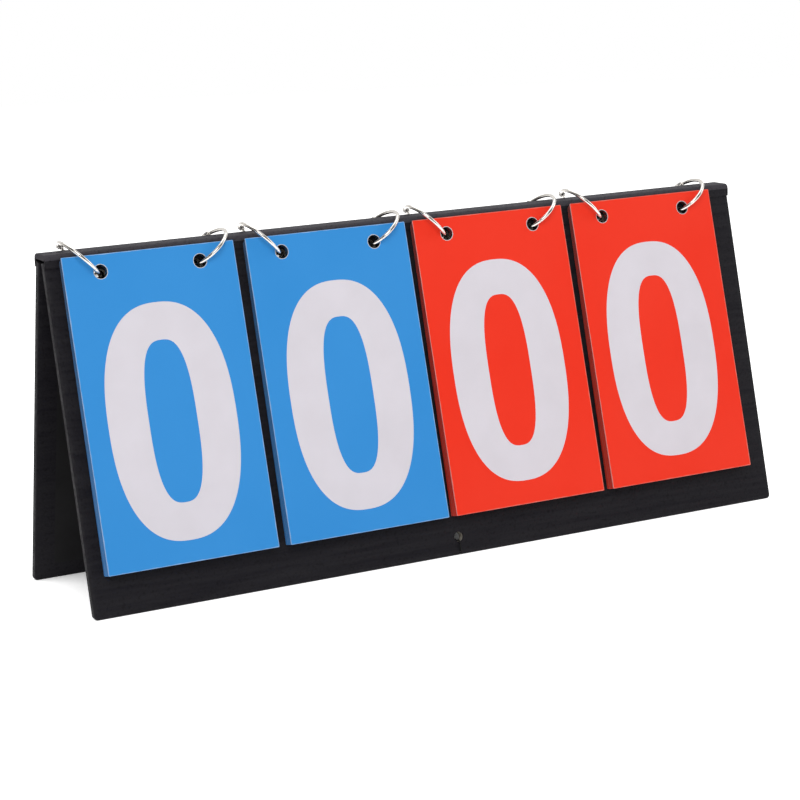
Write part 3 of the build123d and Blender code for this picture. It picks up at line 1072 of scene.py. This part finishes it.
@dataclass
class CardStack:
    """One stack: the front card with its nought, the next card with its one, and the cards behind."""

    name: str
    centre: float
    team: Team
    nought_middle: tuple[float, float]
    slant: Slant
    hole_half: float = 24.75 * MM
    hole_depth: float = 8.1 * MM
    hole_radius: float = 3.25 * MM
    thickness: float = 0.28 * MM
    pitch: float = 0.31 * MM
    fan: float = radians(0.13)
    gap: float = 0.5 * MM
    count: int = 10
    front_top: float = -0.9 * MM
    stagger: float = 1.72 * MM
    half_width: float = 42.8 * MM
    height: float = 146.0 * MM
    corner: float = 0.45 * MM
    sunk: float = -0.01 * MM
    nought_height: float = 0.03 * MM
    nought_outside: tuple[float, float, float] = (31.9 * MM, 55.45 * MM, 2.43)
    nought_inside: tuple[float, float, float] = (12.0 * MM, 37.9 * MM, 2.81)
    nought_points: int = 240
    one_height: float = 0.02 * MM
    one_stem: float = 10.0 * MM
    one_flag: float = 18.5 * MM
    one_top: float = 24.4 * MM
    one_foot: float = 135.2 * MM
    one_drops: tuple[float, float] = (20.0 * MM, 38.0 * MM)
    one_tuck: float = 27.0 * MM
    one_notch: float = 0.5 * MM
    rim_gap: float = 0.16 * MM
    rim_reach: float = 0.15 * MM
    rim_height: float = 0.05 * MM
    rim_sunk: float = 0.3
    rim_sides: int = 12
    rim_points: int = 64
    rim_waves: tuple[tuple[float, float, float], ...] = ((0.12, 7, 0.6), (0.08, 13, 0.0))
    border: float = 0.26 * MM
    border_inset: float = 0.03 * MM
    border_sunk: float = -0.005 * MM
    border_height: float = 0.012 * MM
    border_points: int = 960
    border_waves: tuple[tuple[float, float, float], ...] = ((0.22, 37, 0.4), (0.2, 83, 0.0), (0.15, 9, 2.0))

    def on_card(self, number: int, across: Grid, down: Grid, out: Grid) -> Grid:
        """Points on a card: number 0 is the front card, and out counts from its printed face.

        The card hangs at its own distance from the leaf and fans out by a fixed angle per card behind it.

        Args:
            number: the card's place in the stack, from the front.
            across: along the board from the stack's middle.
            down: down the card from its top edge.
            out: out from its printed face.

        Returns:
            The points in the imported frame, in a last axis of three.
        """
        behind = self.count - 1 - number
        fan = self.fan * behind
        top = self.front_top + self.drop(number)
        away = self.gap + behind * self.pitch
        out = np.asarray(out) + self.thickness
        down = np.asarray(down)
        return self.slant.place(
            self.centre + across, top + down * cos(fan) - out * sin(fan), away + down * sin(fan) + out * cos(fan)
        )

    def drop(self, number: int) -> float:
        """How much lower than the front card's top edge a card's is."""
        return self.stagger * number / (self.count - 1)

    def flat_ring(self, number: int, inner: Grid, outer: Grid, low: float, high: float) -> Shell:
        """A flat ring on a card between two outlines of as many points, with square edges.

        Args:
            number: the card's place in the stack.
            inner: the inner outline, across and down.
            outer: the outer outline, across and down.
            low: its lower side's height over the printed face.
            high: its upper side's height over the printed face.

        Returns:
            The closed shell.
        """
        rim = np.stack([inner, inner, outer, outer])
        height = np.array([low, high, high, low])[:, None]
        points = self.on_card(number, rim[..., 0], rim[..., 1], np.broadcast_to(height, rim.shape[:2]))
        return Shell(points.reshape(-1, 3), grid_faces(4, inner.shape[0], True, True).tolist()).turned_out()

    def nought(self) -> Shell:
        """The nought: between an outer superellipse and a narrower, squarer one round the same middle.

        Returns:
            The closed shell.
        """
        middle = np.array([self.nought_middle])
        outer = oval(*self.nought_outside, self.nought_points) + middle
        inner = oval(*self.nought_inside, self.nought_points) + middle
        return self.flat_ring(0, inner, outer, self.sunk, self.nought_height)

    def one(self) -> Shell:
        """The one: an upright stroke with a sloping flag at its top left, as an outline with two flat sides.

        Returns:
            The closed shell.
        """
        stem, top, foot, tip = self.one_stem, self.one_top, self.one_foot, -self.one_stem - self.one_flag
        flag_top, flag_foot = (top + drop for drop in self.one_drops)
        stroke = [(stem, top), (stem, foot), (-stem, foot)]
        flag = [(-stem, top + self.one_tuck), (tip, flag_foot), (tip, flag_top), (self.one_notch, top)]
        outline = np.array(stroke + flag)
        sides = [self.on_card(1, outline[:, 0], outline[:, 1], height) for height in (self.sunk, self.one_height)]
        n = len(outline)
        faces = grid_faces(2, n, False, True).tolist() + [list(range(n))[::-1], list(range(n, 2 * n))]
        return Shell(np.vstack(sides), faces).turned_out()

    def rims(self, number: int) -> Shell:
        """The pale frayed rim that the punch leaves round each hole: a low half-oval section turned about it.

        The holes of the cards behind reach up to the front card's, so the rim's upper half goes up with them.

        Args:
            number: the card's place in the stack.

        Returns:
            Both rims in one shell.
        """
        lean = np.linspace(0, TURN, self.rim_sides, endpoint=False)
        turn = np.linspace(0, TURN, self.rim_points, endpoint=False)
        fray = frayed(turn, self.rim_waves)
        radius = self.hole_radius + self.rim_gap + self.rim_reach * np.cos(lean)[:, None] * fray[None, :]
        height = np.maximum(np.sin(lean), -self.rim_sunk)[:, None] * self.rim_height * np.ones_like(fray)[None, :]
        shells = []
        for side in Side:
            across = side.value * self.hole_half + radius * np.cos(turn)
            down = self.hole_depth + radius * np.sin(turn) - self.drop(number) * (np.sin(turn) < 0)
            points = self.on_card(number, across, down, height).reshape(-1, 3)
            faces = grid_faces(self.rim_sides, self.rim_points, True, True).tolist()
            shells.append(Shell(points, faces).turned_out())
        return shells[0].joined(shells[1])

    def worn_border(self) -> Shell:
        """The line along the front card's edge where the ink has rubbed off the stock, of uneven width.

        Returns:
            The closed shell.
        """
        inset = self.border_inset
        outline = rounded_rectangle(self.half_width - inset, self.height, self.corner, inset)
        outer = evenly_spaced(outline, self.border_points)
        along = np.roll(outer, -1, 0) - np.roll(outer, 1, 0)
        along /= np.linalg.norm(along, axis=1, keepdims=True)
        inward = np.stack([-along[:, 1], along[:, 0]], -1)
        turn = np.linspace(0, TURN, len(outer), endpoint=False)
        inner = outer + inward * self.border * frayed(turn, self.border_waves)[:, None]
        return self.flat_ring(0, inner, outer, self.border_sunk, self.border_height)

    def build(self, wardrobe: Wardrobe) -> None:
        """Dresses the cards and lays the numerals and hole rims on them.

        Args:
            wardrobe: the finishes.
        """
        rear = wardrobe.card(self.name, self.team, self.centre, False)
        for part in ("next_card", "rear_cards"):
            dress(f"stack_{self.name}_{part}", rear)
        dress(f"stack_{self.name}_front_card", wardrobe.card(self.name, self.team, self.centre, True))
        pieces = {
            "worn_border": (self.worn_border(), wardrobe.rubbed[self.team], False, f"card_{self.name}"),
            "nought": (self.nought(), wardrobe.numeral, False, f"card_{self.name}"),
            "front_hole_rims": (self.rims(0), wardrobe.rim, True, f"card_{self.name}"),
            "one": (self.one(), wardrobe.numeral, False, "front_leaf"),
            "next_hole_rims": (self.rims(1), wardrobe.rim, True, "front_leaf"),
        }
        for part, (shell, material, smooth, body) in pieces.items():
            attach(shell.piece(f"stack_{self.name}_{part}", material, smooth), body)
            log.info("piece stack_%s_%s: %d faces", self.name, part, len(shell.faces))


LEANS: dict[Side, float] = {Side.LEFT: radians(45.0), Side.RIGHT: radians(51.0)}
HINGES: dict[Side, float] = {Side.LEFT: radians(-47.0), Side.RIGHT: radians(-55.0)}
LOW_HINGES: dict[str, float] = {"b_right": radians(-68.0), "c_right": radians(-68.0)}
MIDDLE_CARD = 5


@dataclass
class BookRing:
    """A split ring: a half that stays in the holes, a half that opens, and the rivet that joins them."""

    name: str
    hole_x: float
    side: Side
    lean: float
    hinge: float
    latch: float = radians(112.0)
    radius: float = 12.2 * MM
    wire: float = 0.9 * MM
    pivot_height: float = 152.8 * MM
    rise: float = 9.2 * MM
    forward: float = 1.2 * MM
    lug_radius: float = 1.7 * MM
    lug_inner: float = 0.38 * MM
    lug_outer: float = 1.05 * MM
    forging_reach: float = 1.35
    forging_plan: float = 2.3
    forging_edge: float = 7.0
    tongue_half: float = 0.33 * MM
    tongue_radius: float = 1.6 * MM
    neck: float = 1.9 * MM
    latch_gap: float = 0.1 * MM
    socket_radius: float = 0.58 * MM
    socket_depth: float = 1.0 * MM
    socket_tip: float = 0.05 * MM
    nib_radius: float = 0.45 * MM
    nib_length: float = 0.8 * MM
    nib_tip: float = 0.02 * MM
    nib_root: float = 0.03
    latch_ease: float = 0.12 * MM
    rivet_ease: float = 0.5 * MM
    stations: int = 90
    end_stations: int = 6

    @property
    def axes(self) -> Grid:
        """The ring's own directions.

        Returns:
            Unit rows: towards the ring's top, towards the reader, and square to the ring.
        """
        s = self.side.value
        return np.array(
            [[s * sin(self.lean), 0, cos(self.lean)], [0, -1, 0], [cos(self.lean), 0, -s * sin(self.lean)]]
        )

    @property
    def middle(self) -> Grid:
        """The ring's centre."""
        return np.array([self.hole_x, -self.forward, self.pivot_height]) + self.rise * self.axes[0]

    def on_ring(self, angle: Grid) -> tuple[Grid, Grid]:
        """Points on the wire's middle line.

        Args:
            angle: their angles from the ring's top, towards the reader.

        Returns:
            The points, and the unit directions out from the ring's centre there.
        """
        angle = np.asarray(angle)
        out = np.cos(angle)[..., None] * self.axes[0] + np.sin(angle)[..., None] * self.axes[1]
        return self.middle + self.radius * out, out

    def wire_run(self, angles: Grid, radii: Grid) -> Shell:
        """Wire along a stretch of the ring.

        Args:
            angles: the stations' angles.
            radii: the wire's radius at each station.

        Returns:
            The closed shell.
        """
        centres, out = self.on_ring(angles)
        square = np.broadcast_to(self.axes[2], out.shape)
        return swept(centres, out, square, radii)

    def rounded(self, start: float, stop: float, ends: tuple[float, float]) -> tuple[Grid, Grid]:
        """Angles and radii of a wire whose ends are eased off.

        Args:
            start: angle of the first end.
            stop: angle of the last end.
            ends: how far each end's edge is eased, in metres.

        Returns:
            The angles of the stations and the wire's radius at each.
        """
        quarter = np.linspace(0, pi / 2, self.end_stations)
        in_from_end, narrower = (1 - np.cos(quarter)) / self.radius, 1 - np.sin(quarter)
        first = np.stack([start + ends[0] * in_from_end, self.wire - ends[0] * narrower], -1)
        last = np.stack([stop - ends[1] * in_from_end, self.wire - ends[1] * narrower], -1)[::-1]
        mid = np.linspace(first[-1, 0], last[0, 0], self.stations)[1:-1]
        run = np.vstack([first, np.stack([mid, np.full(len(mid), self.wire)], -1), last])
        return run[:, 0], run[:, 1]

    def plate(self, low: float, high: float, radius: float, towards: float) -> Shell:
        """A forged end: a rounded oval plate about the rivet, drawn out along the wire it belongs to.

        Args:
            low: its lower side's place along the rivet.
            high: its upper side's place along the rivet.
            radius: its half width.
            towards: 1 if its wire goes on from the rivet by rising angles, and -1 if it ends there.

        Returns:
            The closed shell.
        """
        centre, out = self.on_ring(np.array(self.hinge))
        along = towards * (-sin(self.hinge) * self.axes[0] + cos(self.hinge) * self.axes[1])
        reach = radius * self.forging_reach
        middle = centre + along * (reach - radius) + self.axes[2] * (low + high) / 2
        axes = np.stack([along, out, self.axes[2]])
        half = np.array([reach, radius, (high - low) / 2])
        return pebble(middle, axes, half, self.forging_plan, self.forging_edge)

    def fixed_half(self) -> Shell:
        """The half in the holes: hollow at the latch, forked at the rivet.

        Returns:
            The half, with both lugs.
        """
        latch, bottom = self.latch, self.latch + self.socket_depth / self.radius
        eases = (self.latch_ease, self.rivet_ease)
        angles, radii = self.rounded(latch, self.hinge + TURN - self.neck / self.radius, eases)
        pocket = np.array([bottom, bottom, latch, latch])
        pocket_radii = np.array([self.socket_tip, self.socket_radius, self.socket_radius, self.wire - self.latch_ease])
        wire = self.wire_run(np.concatenate([pocket, angles[1:]]), np.concatenate([pocket_radii, radii[1:]]))
        for sign in (-1, 1):
            low, high = sorted((sign * self.lug_inner, sign * self.lug_outer))
            wire = wire.joined(self.plate(low, high, self.lug_radius, -1.0))
        return wire

    def free_half(self) -> Shell:
        """The half that opens: a flat tongue on the rivet and a nib that enters the latch.

        Returns:
            The half, with its tongue and nib.
        """
        end = self.latch - self.latch_gap / self.radius
        start, eases = self.hinge + self.neck / self.radius, (self.rivet_ease, self.latch_ease)
        wire = self.wire_run(*self.rounded(start, end, eases))
        tip = np.linspace(0, pi / 2, self.end_stations)
        nib_reach = (self.nib_length - self.nib_radius * (1 - np.sin(tip))) / self.radius
        nib_angles = np.concatenate([[end - self.nib_root], end + nib_reach])
        nib_radii = np.concatenate([[self.nib_radius], np.maximum(self.nib_radius * np.cos(tip), self.nib_tip)])
        nib = self.wire_run(nib_angles, nib_radii)
        tongue = self.plate(-self.tongue_half, self.tongue_half, self.tongue_radius, 1.0)
        return wire.joined(nib).joined(tongue)

    def build(self, wardrobe: Wardrobe) -> None:
        """Makes both halves and dresses the rivet.

        Args:
            wardrobe: the finishes.
        """
        dress(f"ring_{self.name}_pin", wardrobe.steel)
        halves = {
            "fixed": (self.fixed_half(), f"ring_{self.name}"),
            "free": (self.free_half(), f"ring_{self.name}_free"),
        }
        for half, (shell, body) in halves.items():
            piece = shell.piece(f"ring_{self.name}_{half}_wire", wardrobe.wire)
            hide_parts(f"ring_{self.name}_{half}_half")
            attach(piece, body)
            log.info("piece %s: %d faces", piece.name, len(shell.faces))


@dataclass
class StayCord:
    """The cord that keeps the leaves from spreading: a loop and a knot at each foot, and the pulled stretch between."""

    slant: Slant
    radius: float = 0.4 * MM
    sidestep: float = 1.5 * MM
    hole_rise: float = 9.0 * MM
    drop: float = 1.8 * MM
    clear: float = 0.15 * MM
    knot_radius: float = 1.2 * MM
    span_gap: float = 0.1 * MM
    under_height: float = 0.75 * MM
    twist: float = 3.2 * MM
    strands: int = 3
    groove: float = 0.2
    sides: int = 24
    weave_length: float = 4.0 * MM
    loop_squareness: float = 7.0
    loop_points: int = 260
    knot_ring: float = 0.52
    knot_cross: float = 0.26
    knot_depth: float = 1.3
    knot_tilt: float = 0.5
    knot_cord: float = 16.0 * MM
    knot_thin: float = 0.95
    knot_points: int = 220
    crumpled: float = 0.03

    @property
    def down(self) -> float:
        """Where the cord passes through its hole, down the slant."""
        return self.slant.foot - self.hole_rise + self.drop

    def knot_centre(self, leaf: Leaf) -> Grid:
        """Middle of a knot, on a leaf's inner face and to that leaf's own right."""
        behind = -self.slant.thickness - self.clear - self.knot_radius
        return self.slant.place(-leaf.value * self.sidestep, self.down, behind, leaf)

    def rope(self, centres: Grid, first: Grid, second: Grid, length: float, closed: bool, thin: float = 1.0) -> Shell:
        """Twisted cord along a path: its radius falls from the strands' crests to the grooves between them.

        The radius is a share 1 - groove + groove * |cos| of the cord's, where the cosine's angle is half of
        strands times the turn round the cord less the turn along it, one turn for each twist length.

        Args:
            centres: the path's points.
            first: unit vectors across the path.
            second: unit vectors across the path, square to the first.
            length: the path's length.
            closed: whether its last point joins its first.
            thin: a share of the cord's radius, for cord that is pulled tight.

        Returns:
            The closed shell.
        """
        turn = np.linspace(0, TURN, self.sides, endpoint=False)
        turns = max(1, round(length / self.twist))
        along = np.linspace(0, turns * TURN, len(centres), endpoint=not closed)
        wave = np.abs(np.cos((turn[None, :] * self.strands - along[:, None] * self.strands) / 2))
        reach = thin * self.radius * (1 - self.groove + self.groove * wave)
        return swept(centres, first, second, reach, self.sides, closed, length / self.weave_length)

    def loop(self, leaf: Leaf) -> Shell:
        """The loop round the foot: a squarish superellipse in the leaf's section, level along the table.

        Args:
            leaf: the leaf that it goes round.

        Returns:
            The closed shell.
        """
        face = self.clear + self.radius
        out_half = self.slant.thickness / 2 + face
        shape = oval(1.0, 1.0, self.loop_squareness, self.loop_points)
        out = -self.slant.thickness / 2 + out_half * shape[:, 0]
        lowest = (self.slant.crease_height + out * sin(self.slant.tilt) - self.under_height) / cos(self.slant.tilt)
        down = self.down + (lowest - self.down) * (0.5 - 0.5 * shape[:, 1])
        centres = self.slant.place(-leaf.value * self.sidestep, down, out, leaf)
        along = np.roll(centres, -1, 0) - np.roll(centres, 1, 0)
        length = float(np.linalg.norm(np.diff(centres, axis=0, append=centres[:1]), axis=1).sum())
        along /= np.linalg.norm(along, axis=1, keepdims=True)
        first = np.broadcast_to([1.0, 0.0, 0.0], along.shape)
        return self.rope(centres, first, np.cross(along, first), length, True)

    def knot(self, leaf: Leaf) -> Shell:
        """The knot: a trefoil, whose cord goes twice round a small circle and three times through it.

        Args:
            leaf: the leaf that it lies behind.

        Returns:
            The closed shell.
        """
        turn = np.linspace(0, TURN, self.knot_points, endpoint=False)
        ring, cross = self.knot_ring * self.knot_radius, self.knot_cross * self.knot_radius
        flat = (ring + cross * np.cos(3 * turn))[:, None] * np.stack([np.cos(2 * turn), np.sin(2 * turn)], -1)
        local = np.concatenate([flat, (cross * self.knot_depth * np.sin(3 * turn))[:, None]], -1)
        level, upright = cos(self.knot_tilt), sin(self.knot_tilt)
        axes = np.array([[1, 0, 0], [0, upright, level], [0, -level, upright]])
        centres = self.knot_centre(leaf) + local @ axes
        along = np.roll(centres, -1, 0) - np.roll(centres, 1, 0)
        along /= np.linalg.norm(along, axis=1, keepdims=True)
        outward = centres - self.knot_centre(leaf)
        second = np.cross(along, outward)
        second /= np.linalg.norm(second, axis=1, keepdims=True)
        return self.rope(centres, np.cross(second, along), second, self.knot_cord, True, self.knot_thin)

    def route(self) -> list[tuple[float, float, float]]:
        """The pulled stretch's route, from the near side of the front knot to that of the back one.

        Returns:
            Five points in a straight line, in metres.
        """
        ends = []
        for leaf in Leaf:
            knot = self.knot_centre(leaf)
            level = np.array([knot[0], knot[1], 0.0])
            ends.append(knot - level / np.linalg.norm(level) * (self.knot_radius + self.span_gap))
        return [tuple(map(float, ends[0] + (ends[1] - ends[0]) * share)) for share in (0.0, 0.25, 0.5, 0.75, 1.0)]

    def build(self, wardrobe: Wardrobe) -> None:
        """Makes the loops, the knots and the pulled stretch between them.

        Args:
            wardrobe: the finishes.
        """
        for leaf in Leaf:
            side = leaf.name.lower()
            shell = self.loop(leaf).joined(self.knot(leaf))
            loop = shell.piece(f"{side}_foot_loop", wardrobe.cord)
            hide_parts(f"{side}_cord_loop")
            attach(loop, f"{side}_leaf")
            log.info("piece %s: %d faces", loop.name, len(shell.faces))
        self.build_stretch(wardrobe)

    def build_stretch(self, wardrobe: Wardrobe) -> None:
        """The pulled stretch between the leaves.

        Args:
            wardrobe: the finishes.
        """
        path = spline_points("stay_route", self.route())
        length = float(np.linalg.norm(np.diff(path, axis=0), axis=1).sum())
        along = np.gradient(path, axis=0)
        along /= np.linalg.norm(along, axis=1, keepdims=True)
        first = np.broadcast_to([0.0, 0.0, 1.0], along.shape)
        piece = self.rope(path, first, np.cross(along, first), length, False).piece("stay_stretch", wardrobe.cord)
        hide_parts("stay_cord")
        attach(piece, "spine")
        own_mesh(piece)
        log.info("piece %s: %.1f mm long", piece.name, length / MM)


def spline_points(name: str, route: list[tuple[float, float, float]], fineness: int = 60) -> Grid:
    """Points along the smooth NURBS line of a route.

    Args:
        name: a name for the curve while it is read.
        route: its control points.
        fineness: how many steps Blender gives each stretch.

    Returns:
        The line's points, from the first end to the last.
    """
    curve = bpy.data.curves.new(name, "CURVE")
    curve.dimensions = "3D"
    curve.resolution_u = fineness
    spline = curve.splines.new("NURBS")
    spline.points.add(len(route) - 1)
    spline.points.foreach_set("co", np.c_[np.array(route), np.ones(len(route))].ravel())
    spline.order_u = 3
    spline.use_endpoint_u = True
    holder = bpy.data.objects.new(name, curve)
    line = bpy.data.meshes.new_from_object(holder)
    points = np.zeros(len(line.vertices) * 3)
    line.vertices.foreach_get("co", points)
    bpy.data.objects.remove(holder)
    bpy.data.meshes.remove(line)
    bpy.data.curves.remove(curve)
    return points.reshape(-1, 3)


# ---------------------------------------------------------------- studio


@dataclass(frozen=True)
class Lamp:
    """A soft square lamp, aimed at the board's middle."""

    name: str
    place: tuple[float, float, float]
    size: float
    power: float

    def build(self, aim: Vector) -> None:
        """Makes the lamp.

        Args:
            aim: the point that it is turned to.
        """
        light = bpy.data.lights.new(self.name, "AREA")
        light.shape, light.size, light.energy = "SQUARE", self.size, self.power
        lamp = bpy.data.objects.new(self.name, light)
        lamp.location = self.place
        lamp.rotation_mode = "QUATERNION"
        lamp.rotation_quaternion = (Vector(self.place) - aim).to_track_quat("Z", "Y")
        bpy.context.scene.collection.objects.link(lamp)


@dataclass
class Studio:
    """Camera, lamps, world and floor."""

    azimuth: float = radians(-27.999)
    elevation: float = radians(11.836)
    distance: float = 1169.537 * MM
    roll: float = radians(-2.102)
    aim: tuple[float, float, float] = (-6.798 * MM, 0.0, 71.699 * MM)
    lens_pixels: float = 2343.8
    frame_pixels: float = 800.0
    sensor: float = 36.0
    ambient: float = 0.58
    dim: float = 0.08
    backdrop: tuple[float, float, float] = (0.44, 0.83, 0.34)
    backdrop_range: tuple[float, float] = (-0.35, 0.7)
    floor_radius: float = 3.0
    floor_points: int = 96
    lamps: tuple[Lamp, ...] = (
        Lamp("key_lamp", (-0.7, -1.5, 1.5), 1.1, 15.8),
        Lamp("fill_lamp", (1.9, -0.7, 1.1), 1.3, 8.4),
        Lamp("top_lamp", (0.1, 0.5, 1.7), 1.2, 7.4),
    )

    def make_camera(self) -> None:
        """Places the camera on its sphere round the aim, turned by the roll, with the photograph's field of view."""
        back = Vector(
            (sin(self.azimuth) * cos(self.elevation), -cos(self.azimuth) * cos(self.elevation), sin(self.elevation))
        )
        right = (-back).cross(Vector((0, 0, 1))).normalized()
        up = right.cross(-back)
        across = cos(self.roll) * right + sin(self.roll) * up
        upright = -sin(self.roll) * right + cos(self.roll) * up
        lens = bpy.data.cameras.new("camera")
        lens.sensor_width = self.sensor
        lens.lens = self.lens_pixels / self.frame_pixels * self.sensor
        camera = bpy.data.objects.new("camera", lens)
        turn = Matrix((across, upright, back)).transposed().to_4x4()
        camera.matrix_world = Matrix.Translation(Vector(self.aim) + back * self.distance) @ turn
        bpy.context.scene.collection.objects.link(camera)
        bpy.context.scene.camera = camera

    def make_world(self) -> None:
        """A white surround to look at, a softer one to light by, and a room that is dim behind the camera to mirror.

        Mirror rays see a strength that rises with the cosine between their direction and the backdrop's.
        """
        world = bpy.data.worlds.new("studio")
        world.use_nodes = True
        tree = world.node_tree
        rays = add_node(tree, "LightPath").outputs
        direct = maths(tree, "MAXIMUM", rays["Is Camera Ray"], rays["Is Transmission Ray"])
        strength = maths(tree, "MULTIPLY_ADD", direct, 1.0 - self.ambient, self.ambient)
        towards = add_node(tree, "TexCoord").outputs["Generated"]
        cosine = add_node(tree, "VectorMath", {0: towards, 1: self.backdrop}, operation="DOT_PRODUCT").outputs["Value"]
        mirrored = maths(tree, "SUBTRACT", span(tree, cosine, *self.backdrop_range, self.dim, 1.0), self.ambient)
        strength = maths(tree, "MULTIPLY_ADD", rays["Is Glossy Ray"], mirrored, strength)
        tree.links.new(strength, tree.nodes["Background"].inputs["Strength"])
        tree.nodes["Background"].inputs["Color"].default_value = (1.0, 1.0, 1.0, 1.0)
        bpy.context.scene.world = world

    def make_floor(self) -> None:
        """A round table top, whose rim is far outside the view."""
        rim = oval(self.floor_radius, self.floor_radius, 2.0, self.floor_points)
        points = np.vstack([np.c_[rim, np.zeros(len(rim))], [[0.0, 0.0, 0.0]]])
        faces = [[len(rim), i, (i + 1) % len(rim)] for i in range(len(rim))]
        Shell(points, faces).piece("table_top", Tabletop().build(), False)

    def build(self) -> None:
        """Makes everything that isn't the object."""
        self.make_camera()
        self.make_world()
        self.make_floor()
        for lamp in self.lamps:
            lamp.build(Vector(self.aim))
        bpy.context.scene.view_settings.view_transform = "Standard"
        log.info("studio: camera, world, floor and %d lamps", len(self.lamps))


# ---------------------------------------------------------------- the whole


def make_scene() -> None:
    """Builds and dresses every part of the scoreboard, then the studio."""
    slant = Slant()
    Studio().build()
    lean = slant.tilt + CardStack.fan * MIDDLE_CARD
    wardrobe = Wardrobe((0.0, -cos(lean), sin(lean)))
    StayCord(slant).build(wardrobe)
    stand = Stand(slant)
    stand.dress(wardrobe)
    for leaf in Leaf:
        stand.make_crease(leaf, wardrobe)
    stacks = (
        CardStack("a", -140.1 * MM, Team.BLUE, (-0.4 * MM, 80.3 * MM), slant),
        CardStack("b", -48.35 * MM, Team.BLUE, (0.0, 79.9 * MM), slant),
        CardStack("c", 41.65 * MM, Team.RED, (-0.9 * MM, 78.9 * MM), slant),
        CardStack("d", 132.85 * MM, Team.RED, (-0.4 * MM, 79.1 * MM), slant),
    )
    for stack in stacks:
        stack.build(wardrobe)
        for side in Side:
            name = f"{stack.name}_{side.name.lower()}"
            hinge = LOW_HINGES.get(name, HINGES[side])
            BookRing(name, stack.centre + side.value * stack.hole_half, side, LEANS[side], hinge).build(wardrobe)


def main() -> None:
    """Builds the scene."""
    logging.basicConfig(level=logging.INFO, format="%(name)s: %(message)s")
    make_scene()


if __name__ == "__main__":
    main()
